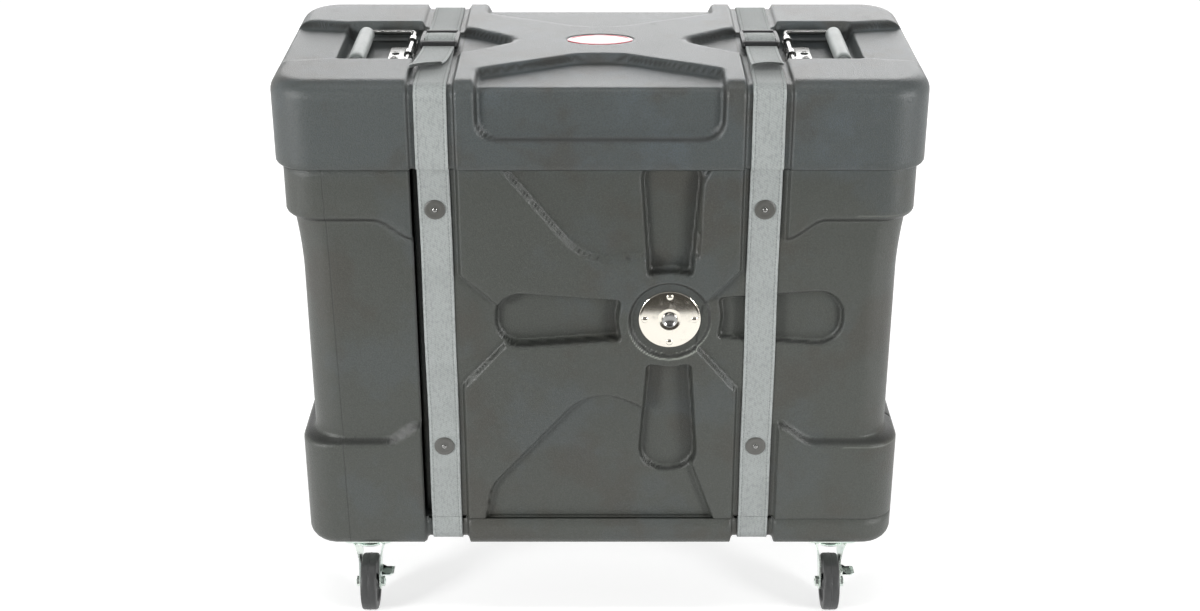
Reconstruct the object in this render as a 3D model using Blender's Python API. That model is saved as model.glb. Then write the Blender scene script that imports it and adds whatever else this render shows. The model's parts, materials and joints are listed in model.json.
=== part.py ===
"""A wheeled trap case for drum hardware, with a drop-down cymbal vault in its front.

Metres, +X right, +Y to the back, +Z up. The origin is on the floor under the middle of the case.
"""

import math

import bmesh
import bpy
from mathutils import Matrix, Vector

# Clearances
SEAT_GAP = 0.0003
PIN_GAP = 0.0003
DOOR_GAP = 0.0005

# Moulded case
CASE_WIDTH = 0.751
CASE_DEPTH = 0.334
CASE_CORNER = 0.040
CASE_WALL = 0.006
BASE_HEIGHT = 0.104
BASE_FILLET = 0.018
SHELL_HEIGHT = 0.518
LOWER_BAND_HEIGHT = 0.146
UPPER_BAND_HEIGHT = 0.060
BAND_SLOPE = 0.010
WAIST_INSET_SIDE = 0.015
WAIST_INSET_FRONT = 0.009
BAND_FLARE_WIDTH = 0.045
BAND_FLARE_HEIGHT = 0.024
BAND_FLARE_TOE = 0.014
BAND_FLARE_CREST = 0.016
BAND_FLARE_RISE = 0.017
BAND_FLARE_ROUND = 0.012
NECK_INSET = 0.008
NECK_HEIGHT = 0.023
CORNER_STEPS = 5

# Lid
LID_HEIGHT = 0.106
LID_OVERHANG = 0.008
LID_FILLET = 0.020
LID_WALL = 0.005
LID_FIT = 0.003
POCKET_WIDTH = 0.288
POCKET_DEPTH = 0.010
POCKET_RISE = 0.036
POCKET_SHOULDER = 0.055
POCKET_PEAK = 0.115
POCKET_PEAK_WIDTH = 0.052
POCKET_ROUND = 0.025
POCKET_SHOULDER_ROUND = 0.010
POCKET_PEAK_ROUND = 0.060
BAY_DEPTH = 0.010
BAY_END_HALF = 0.083
BAY_MID_HALF = 0.048
BAY_MID_X = 0.160
BAY_TIP_X = 0.098
BAY_ROUND = 0.015
BAY_MID_ROUND = 0.030

# Straps
STRAP_X = 0.195
STRAP_WIDTH = 0.038
STRAP_THICKNESS = 0.0016
CHANNEL_WIDTH = 0.054
CHANNEL_DEPTH = 0.006
CHANNEL_BEND = 0.014
STRAP_WASHER_RADIUS = 0.0125
STRAP_WASHER_THICKNESS = 0.0016
STRAP_WASHER_RISE = 0.145
STRAP_WASHER_DROP = 0.054
STRAP_RIVET_RADIUS = 0.0022
RIVET_HEAD_RADIUS = 0.0042
RIVET_HEAD_HEIGHT = 0.0012
BUCKLE_LENGTH = 0.058
BUCKLE_RIM = 0.004
BUCKLE_FRONT_HEIGHT = 0.009
BUCKLE_MIDDLE_HEIGHT = 0.0068
BUCKLE_REAR_HEIGHT = 0.0054
BUCKLE_ROUND = 0.003
BUCKLE_BAR = 0.006
TAIL_LENGTH = 0.085
TAIL_LIFTS = (0.0018, 0.0024, 0.006)

# Vault door
VAULT_DEPTH = 0.075
DOOR_RISE = 0.042
DOOR_TOP_DROP = 0.012
PARTITION_WALL = 0.005
PLATE_X = 0.0845
PLATE_DROP = 0.1973
PLATE_RADIUS = 0.0375
PLATE_THICKNESS = 0.0012
PLATE_DISH_RADIUS = 0.049
PLATE_DISH_DEPTH = 0.007
PLATE_RIVET_CIRCLE = 0.030
PETAL_START = 0.064
PETAL_END = 0.211
PETAL_INNER_HALF = 0.025
PETAL_OUTER_HALF = 0.033
PETAL_DEPTH = 0.014
PETAL_CORNER = 0.003
PETAL_END_ROUND = 0.026
CROSS_TOP_REACH = (-0.215, 0.054)
CROSS_TOP_HOLLOW = ((-0.100, 0.073, 0.070), (-0.034, 0.084, 0.020), (0.034, 0.084, 0),
                    (0.036, 0.176, 0))
CROSS_RIGHT_ARM = (0.065, -0.096)
CROSS_RIGHT_HOLLOW = ((0.040, 0.020, 0.010), (0.032, -0.036, 0.010))
CROSS_LOW_REACH = (-0.233, 0.066)
CROSS_LOW_HOLLOW = ((-0.036, -0.117, 0.010), (-0.095, -0.090, 0.060))
CROSS_FOOT_LEFT = (-0.221, 0.0477, 0.050)
CROSS_FOOT_RIGHT = (0.030, 0.0807, 0)
CROSS_LEFT_ARM = (-0.091, 0.060)
CROSS_LEFT_HOLLOW = ((-0.198, -0.031, 0.010), (-0.207, 0.019, 0.010))
STUD_RADIUS = 0.004
STUD_HEAD_RADIUS = 0.010
STUD_HEAD_HEIGHT = 0.003
STUD_LENGTH = 0.060
SLEEVE_RADIUS = 0.007
SLEEVE_LENGTH = 0.030
FELT_RADIUS = 0.020
FELT_THICKNESS = 0.005
WING_NUT_RADIUS = 0.007
WING_NUT_LENGTH = 0.008
WING_SPAN = 0.034
WING_THICKNESS = 0.003

# Handles
HANDLE_BAY_DEPTH = 0.023
HANDLE_BAY_HALF = 0.075
HANDLE_BAY_MARGIN = 0.016
HANDLE_BAY_ROUND = 0.012
PIVOT_X = 0.232
HANDLE_REACH = 0.060
BAIL_RADIUS = 0.003
BAIL_HALF_LENGTH = 0.0635
BAIL_CORNER = 0.006
GRIP_RADIUS = 0.010
GRIP_LENGTH = 0.112
GRIP_LIFT = 0.003
HINGE_PLATE_WIDTH = 0.030
HINGE_PLATE_LENGTH = 0.070
HINGE_PLATE_THICKNESS = 0.002
HINGE_EAR_WIDTH = 0.012
HINGE_EAR_Y = 0.028
HINGE_EAR_WALL = 0.002
HINGE_SCREW_RADIUS = 0.0022
HINGE_SCREW_HEAD_RADIUS = 0.0045
HINGE_SCREW_HEAD_HEIGHT = 0.0018
HINGE_SCREW_Y = 0.010

# Badge
BADGE_HALF_WIDTH = 0.040
BADGE_HALF_DEPTH = 0.0205
BADGE_THICKNESS = 0.0015

# Casters
CASTER_INSET_X = 0.0755
CASTER_INSET_Y = 0.047
CASTER_TRAIL = 0.024
WHEEL_RADIUS = 0.0375
WHEEL_WIDTH = 0.020
WHEEL_ROUND = 0.004
HUB_RADIUS = 0.010
HUB_WIDTH = 0.023
HUB_SLOPE = 0.002
WHEEL_STEPS = 28
AXLE_RADIUS = 0.004
AXLE_HEAD_RADIUS = 0.0068
AXLE_HEAD_LENGTH = 0.005
FORK_WALL = 0.0025
FORK_CROWN_RADIUS = 0.023
FORK_CROWN_THICKNESS = 0.0035
FORK_LEG_TOP_HALF = 0.021
FORK_LEG_TIP_HALF = 0.010
FORK_LEG_ROUND = 0.006
FORK_BRIDGE_HALF = 0.0147
RACEWAY_RADIUS = 0.024
RACEWAY_HEIGHT = 0.008
MOUNT_PLATE_SIDE = 0.064
MOUNT_PLATE_THICKNESS = 0.003
BRAKE_LENGTH = 0.017
BRAKE_WIDTH = 0.018
BRAKE_THICKNESS = 0.0015
BRAKE_PIVOT_HEIGHT = 0.052
BRAKE_FLANGE = 0.006
BRAKE_LIP = 0.003

# Places worked out from the sizes above
CASE_HALF_X = CASE_WIDTH / 2
CASE_HALF_Y = CASE_DEPTH / 2
LID_HALF_X = CASE_HALF_X + LID_OVERHANG
LID_HALF_Y = CASE_HALF_Y + LID_OVERHANG
FRONT = -CASE_HALF_Y
LID_RIM = BASE_HEIGHT + SHELL_HEIGHT
LID_TOP = LID_RIM + LID_HEIGHT
NECK_TOP = LID_RIM + NECK_HEIGHT
LOWER_BAND_TOP = BASE_HEIGHT + LOWER_BAND_HEIGHT
UPPER_BAND_BOTTOM = LID_RIM - UPPER_BAND_HEIGHT
POCKET_BOTTOM = LID_RIM + POCKET_RISE
DOOR_BOTTOM = BASE_HEIGHT + DOOR_RISE
PLATE_Z = LID_RIM - PLATE_DROP
STRAP_WASHER_HEIGHTS = (BASE_HEIGHT + STRAP_WASHER_RISE, LID_RIM - STRAP_WASHER_DROP)
CASTER_X = CASE_HALF_X - CASTER_INSET_X
CASTER_Y = CASE_HALF_Y - CASTER_INSET_Y
WAIST_FRONT = FRONT + WAIST_INSET_FRONT
CHANNEL_INNER = STRAP_X - CHANNEL_WIDTH / 2
CHANNEL_OUTER = STRAP_X + CHANNEL_WIDTH / 2
DOOR_LEFT = -CHANNEL_OUTER
VAULT_BACK = FRONT + VAULT_DEPTH
SHOULDER = LID_RIM - SEAT_GAP
DOOR_TOP = LID_RIM - DOOR_GAP
FAR = CASE_WIDTH + CASE_DEPTH + LID_TOP
BAY_FLOOR = LID_TOP - BAY_DEPTH
HANDLE_BAY_FLOOR = LID_TOP - HANDLE_BAY_DEPTH
BAIL_HEIGHT = HANDLE_BAY_FLOOR + GRIP_LIFT + GRIP_RADIUS
GRIP_X = PIVOT_X + HANDLE_REACH
PLATE_FACE = FRONT + PLATE_DISH_DEPTH
DOOR_INSIDE = max(PLATE_FACE, WAIST_FRONT) + CASE_WALL
STRAP_FACE = WAIST_FRONT - SEAT_GAP - STRAP_THICKNESS
LID_STRAP_TOP = LID_TOP - CHANNEL_DEPTH + SEAT_GAP + STRAP_THICKNESS
FORK_TOP = BASE_HEIGHT - SEAT_GAP - MOUNT_PLATE_THICKNESS - RACEWAY_HEIGHT - SEAT_GAP
LEG_FACE = HUB_WIDTH / 2 + PIN_GAP + FORK_WALL
SIDES = {"left": -1, "right": 1}


def clear_scene():
    for old in list(bpy.data.objects):
        bpy.data.objects.remove(old, do_unlink=True)


def material(name, colour, roughness, metallic=0.0):
    made = bpy.data.materials.new(name)
    made.use_nodes = True
    shader = made.node_tree.nodes["Principled BSDF"]
    shader.inputs["Base Color"].default_value = (*colour, 1.0)
    shader.inputs["Roughness"].default_value = roughness
    shader.inputs["Metallic"].default_value = metallic
    return made


def finished(name, shape, finish):
    """A mesh object of this bmesh, its faces turned outwards."""
    bmesh.ops.recalc_face_normals(shape, faces=shape.faces[:])
    mesh = bpy.data.meshes.new(name)
    shape.to_mesh(mesh)
    shape.free()
    mesh.shade_smooth()
    mesh.set_sharp_from_angle(angle=math.radians(35))
    made = bpy.data.objects.new(name, mesh)
    bpy.context.scene.collection.objects.link(made)
    if finish is not None:
        mesh.materials.append(finish)
    return made


def loft(name, rings, finish=None):
    """Rings of as many points each, joined one to the next and capped."""
    shape = bmesh.new()
    loops = [[shape.verts.new(point) for point in ring] for ring in rings]
    for lower, upper in zip(loops, loops[1:]):
        for i in range(len(lower)):
            after = (i + 1) % len(lower)
            shape.faces.new((lower[i], lower[after], upper[after], upper[i]))
    shape.faces.new(loops[0])
    shape.faces.new(loops[-1])
    return finished(name, shape, finish)


def along(axis, first, second, level):
    """A point of an outline drawn across this axis, at this level on it."""
    return {
        "X": (level, first, second),
        "Y": (first, level, second),
        "Z": (first, second, level),
    }[axis]


def prism(name, outline, axis, low, high, finish=None):
    rings = [[along(axis, a, b, level) for a, b in outline] for level in (low, high)]
    return loft(name, rings, finish)


def box(name, low, high, finish=None):
    outline = [(low[0], low[1]), (high[0], low[1]), (high[0], high[1]), (low[0], high[1])]
    return prism(name, outline, "Z", low[2], high[2], finish)


def circle(centre, radius, steps):
    turns = [2 * math.pi * i / steps for i in range(steps)]
    return [(centre[0] + radius * math.cos(a), centre[1] + radius * math.sin(a)) for a in turns]


def disc(name, centre, radius, axis, low, high, finish=None, steps=24):
    return prism(name, circle(centre, radius, steps), axis, low, high, finish)


def rounded(corners, steps=4):
    """An outline whose corners, each (x, y, radius), are turned into arcs."""
    outline = []
    for i, (x, y, radius) in enumerate(corners):
        here = Vector((x, y))
        back = (Vector(corners[i - 1][:2]) - here).normalized()
        ahead = (Vector(corners[(i + 1) % len(corners)][:2]) - here).normalized()
        if radius == 0:
            outline.append(tuple(here))
            continue
        half = back.angle(ahead) / 2
        centre = here + (back + ahead).normalized() * radius / math.sin(half)
        start = here + back * radius / math.tan(half) - centre
        end = here + ahead * radius / math.tan(half) - centre
        for step in range(steps + 1):
            spoke = start.lerp(end, step / steps).normalized() * radius
            outline.append(tuple(centre + spoke))
    return outline


def mirrored(outline, side):
    return [(side * a, b) for a, b in outline]


def rounded_rectangle(half_x, half_y, radius, height):
    corners = [
        (half_x, -half_y, radius),
        (half_x, half_y, radius),
        (-half_x, half_y, radius),
        (-half_x, -half_y, radius),
    ]
    return [(x, y, height) for x, y in rounded(corners, CORNER_STEPS)]


def helper(obj):
    """A cutter: it shapes other pieces and isn't one itself."""
    obj.hide_render = True
    obj.display_type = "WIRE"
    return obj


def combine(target, other, operation):
    step = target.modifiers.new(other.name, "BOOLEAN")
    step.operation = operation
    step.solver = "EXACT"
    step.object = helper(other)


def cut(target, *others):
    for other in others:
        combine(target, other, "DIFFERENCE")


def join(target, *others):
    for other in others:
        combine(target, other, "UNION")


def keep(target, other):
    combine(target, other, "INTERSECT")


def pivot_at(obj, point):
    """Puts the object's origin on its joint's axis, with its shape where it was."""
    obj.data.transform(Matrix.Translation(-Vector(point)))
    obj.location = point
    return obj


def case_ring(inset, height, waist=0.0):
    """The case's outline at a height, inset all round, and drawn in at its waist."""
    return rounded_rectangle(
        CASE_HALF_X - WAIST_INSET_SIDE * waist - inset,
        CASE_HALF_Y - WAIST_INSET_FRONT * waist - inset,
        CASE_CORNER - inset,
        height,
    )


def case_form(name, inset=0.0, finish=None):
    """The case's outer form from base to neck, or the same drawn in by its wall."""
    floor = BASE_HEIGHT + inset
    drop = inset / 2
    top = NECK_TOP if inset == 0 else NECK_TOP + CASE_WALL
    rings = []
    for degrees in (0, 30, 60, 90):
        turn = math.radians(degrees)
        fillet = BASE_FILLET * (1 - math.sin(turn))
        rings.append(case_ring(inset + fillet, floor + BASE_FILLET * (1 - math.cos(turn))))
    rings += [
        case_ring(inset, LOWER_BAND_TOP - drop),
        case_ring(inset, LOWER_BAND_TOP + BAND_SLOPE - drop, waist=1.0),
        case_ring(inset, UPPER_BAND_BOTTOM - BAND_SLOPE + drop, waist=1.0),
        case_ring(inset, UPPER_BAND_BOTTOM + drop),
        case_ring(inset, SHOULDER - drop),
        case_ring(inset + NECK_INSET, SHOULDER - drop + (0.0 if inset == 0 else NECK_INSET)),
        case_ring(inset + NECK_INSET, top),
    ]
    return loft(name, rings, finish)


def band_flare(name, start, out, height, up):
    """The wedge by which a band's edge swells towards the strap beside it."""
    foot = height - up * BAND_FLARE_TOE
    tip = start + out * BAND_FLARE_WIDTH
    corners = [
        (start, foot, 0),
        (start, height + up * BAND_FLARE_HEIGHT, 0),
        (start + out * BAND_FLARE_CREST, height + up * BAND_FLARE_RISE, BAND_FLARE_ROUND),
        (tip, height, 0),
        (tip, foot, 0),
    ]
    return prism(name, rounded(corners), "Y", FRONT, WAIST_FRONT + CASE_WALL / 2)


def flares(edge, out, tag):
    """The lower and upper flares beside one strap."""
    return [
        band_flare(f"{tag}_low", edge, out, LOWER_BAND_TOP, 1),
        band_flare(f"{tag}_high", edge, out, UPPER_BAND_BOTTOM, -1),
    ]


def door_region(name, grow):
    """The space of the vault door, grown by a gap on every side but the front and right."""
    front = FRONT - CASE_DEPTH
    lean = DOOR_TOP_DROP / VAULT_DEPTH
    back = VAULT_BACK + grow
    high = DOOR_TOP + grow
    outline = [
        (front, DOOR_BOTTOM - grow),
        (back, DOOR_BOTTOM - grow),
        (back, high - lean * (back - FRONT)),
        (FRONT, high),
        (front, high),
    ]
    return prism(name, outline, "X", DOOR_LEFT - grow, FAR)


def strap_channels(target):
    """Grooves for both straps down the front, under the base and up the back."""
    side_y = -WAIST_FRONT
    low = BASE_HEIGHT + CHANNEL_DEPTH
    corners = [(-side_y, low, CHANNEL_BEND), (side_y, low, CHANNEL_BEND), (side_y, FAR, 0),
               (-side_y, FAR, 0)]
    for side, sign in SIDES.items():
        near, far = sorted((sign * CHANNEL_INNER, sign * CHANNEL_OUTER))
        groove = box(f"body_channel_{side}", (near, -FAR, 0), (far, FAR, FAR + BASE_HEIGHT))
        core = prism(f"body_channel_core_{side}", rounded(corners, 5), "X", near - 1, far + 1)
        cut(groove, core)
        cut(target, groove)


def case_body(finish):
    body = case_form("case_body", finish=finish)
    join(body, *flares(DOOR_LEFT - DOOR_GAP, -1, "body_flare"))
    hollow = case_form("body_hollow", CASE_WALL)
    vault_block = box(
        "vault_block",
        (DOOR_LEFT - DOOR_GAP - CASE_WALL, -FAR, DOOR_BOTTOM - DOOR_GAP - CASE_WALL),
        (FAR, VAULT_BACK + DOOR_GAP + PARTITION_WALL, FAR),
    )
    cut(hollow, vault_block)
    for side, sign in SIDES.items():
        middle = sign * STRAP_X
        half = CHANNEL_WIDTH / 2 + CASE_WALL
        behind = CASE_HALF_Y - WAIST_INSET_FRONT - CASE_WALL
        ahead = WAIST_FRONT + CASE_WALL
        under = BASE_HEIGHT + CHANNEL_DEPTH + CASE_WALL
        cut(
            hollow,
            box(f"rib_back_{side}", (middle - half, behind, 0), (middle + half, FAR, FAR)),
            box(f"rib_front_{side}", (middle - half, -FAR, 0), (middle + half, ahead, FAR)),
            box(f"rib_under_{side}", (middle - half, -FAR, 0), (middle + half, FAR, under)),
        )
    cut(body, hollow, door_region("door_space", DOOR_GAP))
    cut(body, box("vault_mouth", (DOOR_LEFT - DOOR_GAP, -FAR, DOOR_BOTTOM + CASE_WALL),
                  (FAR, VAULT_BACK + DOOR_GAP, FAR)))
    strap_channels(body)
    return body


def petal_outline(turns, grow=0.0):
    """One pocket of the cross round the plate: narrow by the plate, round at its far end."""
    near, wide = PETAL_INNER_HALF + grow, PETAL_OUTER_HALF + grow
    start, end = PETAL_START - grow, PETAL_END + grow
    corners = [
        (start, -near, PETAL_CORNER + grow),
        (end, -wide, PETAL_END_ROUND + grow),
        (end, wide, PETAL_END_ROUND + grow),
        (start, near, PETAL_CORNER + grow),
    ]
    angle = turns * math.pi / 2
    turned = []
    for along_arm, across in rounded(corners, 5):
        x = PLATE_X + along_arm * math.cos(angle) - across * math.sin(angle)
        z = PLATE_Z + along_arm * math.sin(angle) + across * math.cos(angle)
        turned.append((x, z))
    return turned


def cross_outline():
    """The raised arms that run from the plate to the door's corners between the straps."""
    left, right = -CHANNEL_INNER, CHANNEL_INNER
    low, high = DOOR_BOTTOM, DOOR_TOP

    def hollow(points):
        return [(PLATE_X + x, PLATE_Z + z, radius) for x, z, radius in points]

    def foot(x, z, radius):
        return PLATE_X + x, DOOR_BOTTOM + z, radius

    corners = [
        (left, high, 0),
        (PLATE_X + CROSS_TOP_REACH[0], high, 0),
        *hollow(CROSS_TOP_HOLLOW),
        (PLATE_X + CROSS_TOP_REACH[1], high, 0),
        (right, high, 0),
        (right, PLATE_Z + CROSS_RIGHT_ARM[0], 0),
        *hollow(CROSS_RIGHT_HOLLOW),
        (right, PLATE_Z + CROSS_RIGHT_ARM[1], 0),
        (right, low, 0),
        (PLATE_X + CROSS_LOW_REACH[1], low, 0),
        foot(*CROSS_FOOT_RIGHT),
        *hollow(CROSS_LOW_HOLLOW),
        foot(*CROSS_FOOT_LEFT),
        (PLATE_X + CROSS_LOW_REACH[0], low, 0),
        (left, low, 0),
        (left, PLATE_Z + CROSS_LEFT_ARM[0], 0),
        *hollow(CROSS_LEFT_HOLLOW),
        (left, PLATE_Z + CROSS_LEFT_ARM[1], 0),
    ]
    return rounded(corners, 6)


def strap_holes(tag, sign, low, high):
    """Cutters for the rivets that hold one strap."""
    radius = STRAP_RIVET_RADIUS + PIN_GAP
    return [
        disc(f"{tag}_{i}", (sign * STRAP_X, height), radius, "Y", low, high, steps=10)
        for i, height in enumerate(STRAP_WASHER_HEIGHTS)
    ]


def rivet_places():
    """The plate's rivets, at its top, left, bottom and right."""
    names = ("right", "top", "left", "bottom")
    return dict(zip(names, circle((PLATE_X, PLATE_Z), PLATE_RIVET_CIRCLE, 4)))


def plate_holes(tag, low, high):
    """Cutters for the stud and the rivets through the plate."""
    holes = [disc(f"{tag}_stud", (PLATE_X, PLATE_Z), STUD_RADIUS + PIN_GAP, "Y", low, high)]
    for name, place in rivet_places().items():
        radius = STRAP_RIVET_RADIUS + PIN_GAP
        holes.append(disc(f"{tag}_{name}", place, radius, "Y", low, high, steps=10))
    return holes


def vault_door(finish):
    """A tray open at its back and top, so that large cymbals reach up into the lid."""
    door = case_form("vault_door", finish=finish)
    join(door, *flares(CHANNEL_OUTER, 1, "door_flare"))
    plateau = prism(
        "door_cross", cross_outline(), "Y", FRONT + SEAT_GAP, WAIST_FRONT + CASE_WALL / 2
    )
    sunken = box("door_sunken", (DOOR_LEFT - CASE_WALL, -FAR, 0), (CHANNEL_OUTER, WAIST_FRONT, FAR))
    cut(door, sunken)
    join(door, plateau)
    hollow = case_form("door_hollow", CASE_WALL)
    room = box(
        "door_room",
        (DOOR_LEFT + CASE_WALL, WAIST_FRONT + CASE_WALL, DOOR_BOTTOM + CASE_WALL),
        (FAR, FAR, FAR),
    )
    keep(hollow, room)
    floor = FRONT + PETAL_DEPTH
    for arm in range(4):
        boss = prism(f"petal_boss_{arm}", petal_outline(arm, CASE_WALL), "Y", -FAR, floor + CASE_WALL)
        cut(hollow, boss)
    centre = (PLATE_X, PLATE_Z)
    cut(hollow, disc("plate_boss", centre, PLATE_DISH_RADIUS, "Y", -FAR, DOOR_INSIDE, steps=32))
    cut(door, hollow)
    keep(door, door_region("door_limits", 0.0))
    for arm in range(4):
        cut(door, prism(f"petal_{arm}", petal_outline(arm), "Y", -FAR, floor))
    dish = disc("plate_dish", centre, PLATE_DISH_RADIUS, "Y", -FAR, PLATE_FACE, steps=32)
    cut(door, dish, *plate_holes("door_hole", -FAR, 0))
    for side, sign in SIDES.items():
        cut(door, *strap_holes(f"door_strap_hole_{side}", sign, -FAR, 0))
    return pivot_at(door, (0, FRONT, DOOR_BOTTOM))


def vault_fittings(nickel, steel, felt, nylon):
    """The plate and its rivets outside, and the cymbal stud with what it carries inside."""
    centre = (PLATE_X, PLATE_Z)
    back = PLATE_FACE - SEAT_GAP
    face = back - PLATE_THICKNESS
    plate = disc("vault_plate", centre, PLATE_RADIUS, "Y", face, back, nickel, 40)
    cut(plate, *plate_holes("plate_hole", -FAR, 0))
    head_seat = face - SEAT_GAP
    for name, place in rivet_places().items():
        rivet = disc(f"plate_rivet_{name}", place, RIVET_HEAD_RADIUS, "Y",
                     head_seat - RIVET_HEAD_HEIGHT, head_seat, steel, 12)
        shank = disc(f"plate_rivet_shank_{name}", place, STRAP_RIVET_RADIUS, "Y",
                     head_seat - RIVET_HEAD_HEIGHT / 2, DOOR_INSIDE, steps=10)
        join(rivet, shank)
    end = head_seat + STUD_LENGTH
    stud = disc("vault_stud", centre, STUD_HEAD_RADIUS, "Y", head_seat - STUD_HEAD_HEIGHT,
                head_seat, steel)
    join(stud, disc("stud_shank", centre, STUD_RADIUS, "Y", head_seat - STUD_HEAD_HEIGHT / 2, end,
                    steps=16))
    bore = STUD_RADIUS + PIN_GAP
    stations = [
        ("vault_felt_front", FELT_RADIUS, FELT_THICKNESS, felt),
        ("vault_sleeve", SLEEVE_RADIUS, SLEEVE_LENGTH, nylon),
        ("vault_felt_back", FELT_RADIUS, FELT_THICKNESS, felt),
        ("vault_wing_nut", WING_NUT_RADIUS, WING_NUT_LENGTH, steel),
    ]
    start = DOOR_INSIDE + SEAT_GAP
    for name, radius, length, finish in stations:
        piece = disc(name, centre, radius, "Y", start, start + length, finish, 20)
        if name == "vault_wing_nut":
            half = WING_THICKNESS / 2
            wings = box("wings", (PLATE_X - WING_SPAN / 2, start + half, PLATE_Z - half),
                        (PLATE_X + WING_SPAN / 2, start + length, PLATE_Z + half))
            join(piece, wings)
        cut(piece, disc(f"{name}_bore", centre, bore, "Y", start - 1, start + length + 1, steps=16))
        if name == "vault_wing_nut":
            pivot_at(piece, (PLATE_X, start, PLATE_Z))
        start += length + SEAT_GAP


def pocket_outline(grow=0.0):
    """The gable of the lid's middle pocket seen from above, at the front edge."""
    half = POCKET_WIDTH / 2 + grow
    peak = POCKET_PEAK_WIDTH / 2 + grow
    edge = -LID_HALF_Y
    corners = [
        (-half, -FAR, 0),
        (half, -FAR, 0),
        (half, edge + POCKET_SHOULDER + grow, POCKET_SHOULDER_ROUND),
        (peak, edge + POCKET_PEAK + grow, POCKET_PEAK_ROUND),
        (-peak, edge + POCKET_PEAK + grow, POCKET_PEAK_ROUND),
        (-half, edge + POCKET_SHOULDER + grow, POCKET_SHOULDER_ROUND),
    ]
    return rounded(corners)


def front_pocket_outline(grow=0.0):
    half = POCKET_WIDTH / 2 + grow
    corners = [
        (-half, FAR, 0),
        (-half, POCKET_BOTTOM - grow, POCKET_ROUND),
        (half, POCKET_BOTTOM - grow, POCKET_ROUND),
        (half, FAR, 0),
    ]
    return rounded(corners)


def bay_outline(grow=0.0):
    """A handle's bay seen from above: wide at the lid's end, round at its inner tip."""
    corners = [
        (LID_HALF_X + FAR, -BAY_END_HALF - grow, 0),
        (LID_HALF_X + FAR, BAY_END_HALF + grow, 0),
        (LID_HALF_X, BAY_END_HALF + grow, 0),
        (BAY_MID_X, BAY_MID_HALF + grow, BAY_MID_ROUND),
        (BAY_TIP_X - grow, 0, BAY_ROUND),
        (BAY_MID_X, -BAY_MID_HALF - grow, BAY_MID_ROUND),
        (LID_HALF_X, -BAY_END_HALF - grow, 0),
    ]
    return rounded(corners)


def handle_bay(name, sign, grow, floor):
    near = PIVOT_X - HANDLE_BAY_MARGIN - grow
    far = GRIP_X + GRIP_RADIUS + HANDLE_BAY_MARGIN + grow
    half = HANDLE_BAY_HALF + grow
    plan = [(near, -half), (far, -half), (far, half), (near, half)]
    corners = [(x, y, HANDLE_BAY_ROUND) for x, y in plan]
    return prism(name, mirrored(rounded(corners), sign), "Z", floor - grow, FAR)


def lid_form(name, inset, base, finish=None):
    rings = [rounded_rectangle(LID_HALF_X - inset, LID_HALF_Y - inset,
                               CASE_CORNER + LID_OVERHANG - inset, base)]
    for degrees in (0, 22.5, 45, 67.5, 90):
        turn = math.radians(degrees)
        drawn = inset + LID_FILLET * (1 - math.cos(turn))
        height = LID_TOP - inset - LID_FILLET * (1 - math.sin(turn))
        rings.append(rounded_rectangle(LID_HALF_X - drawn, LID_HALF_Y - drawn,
                                       CASE_CORNER + LID_OVERHANG - drawn, height))
    return loft(name, rings, finish)


def lid_hollow():
    """The lid's inside: a socket that drops over the neck, and the room above it."""
    neck = CASE_CORNER - NECK_INSET
    socket_x = CASE_HALF_X - NECK_INSET + LID_FIT
    socket_y = CASE_HALF_Y - NECK_INSET + LID_FIT
    ledge = NECK_TOP + LID_FIT
    inner_x = CASE_HALF_X - NECK_INSET - CASE_WALL - LID_FIT
    inner_y = CASE_HALF_Y - NECK_INSET - CASE_WALL - LID_FIT
    rings = [
        rounded_rectangle(socket_x, socket_y, neck + LID_FIT, LID_RIM - CASE_WALL),
        rounded_rectangle(socket_x, socket_y, neck + LID_FIT, ledge),
        rounded_rectangle(inner_x, inner_y, neck - CASE_WALL, ledge + LID_WALL),
        rounded_rectangle(inner_x, inner_y, neck - CASE_WALL, LID_TOP - LID_FILLET),
        rounded_rectangle(inner_x - LID_WALL, inner_y - LID_WALL, neck - CASE_WALL - LID_WALL,
                          LID_TOP - LID_WALL),
    ]
    hollow = loft("lid_hollow", rings)
    for sign, tag in ((1, "front"), (-1, "rear")):
        island = prism(f"pocket_island_{tag}", pocket_outline(LID_WALL), "Z",
                       LID_TOP - POCKET_DEPTH - LID_WALL, FAR)
        if sign < 0:
            island.rotation_euler.z = math.pi
        cut(hollow, island)
    for side, sign in SIDES.items():
        shallow = prism(f"bay_island_{side}", mirrored(bay_outline(LID_WALL), sign), "Z",
                        BAY_FLOOR - LID_WALL, FAR)
        deep = handle_bay(f"handle_bay_island_{side}", sign, LID_WALL, HANDLE_BAY_FLOOR)
        cut(hollow, shallow, deep)
        half = CHANNEL_WIDTH / 2 + LID_WALL
        cut(hollow, box(f"channel_island_{side}",
                        (sign * STRAP_X - half, -FAR, LID_TOP - CHANNEL_DEPTH - LID_WALL),
                        (sign * STRAP_X + half, FAR, FAR)))
    return hollow


def lid_pocket(tag, turn):
    """A pocket that wraps from the lid's top down its front, as deep on both."""
    wrap = prism(f"pocket_{tag}", pocket_outline(), "Z", POCKET_BOTTOM, FAR)
    keep(wrap, prism(f"pocket_face_{tag}", front_pocket_outline(), "Y", -FAR, FAR))
    cut(wrap, lid_form(f"pocket_core_{tag}", POCKET_DEPTH, LID_RIM - CASE_WALL))
    wrap.rotation_euler.z = turn
    return wrap


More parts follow.
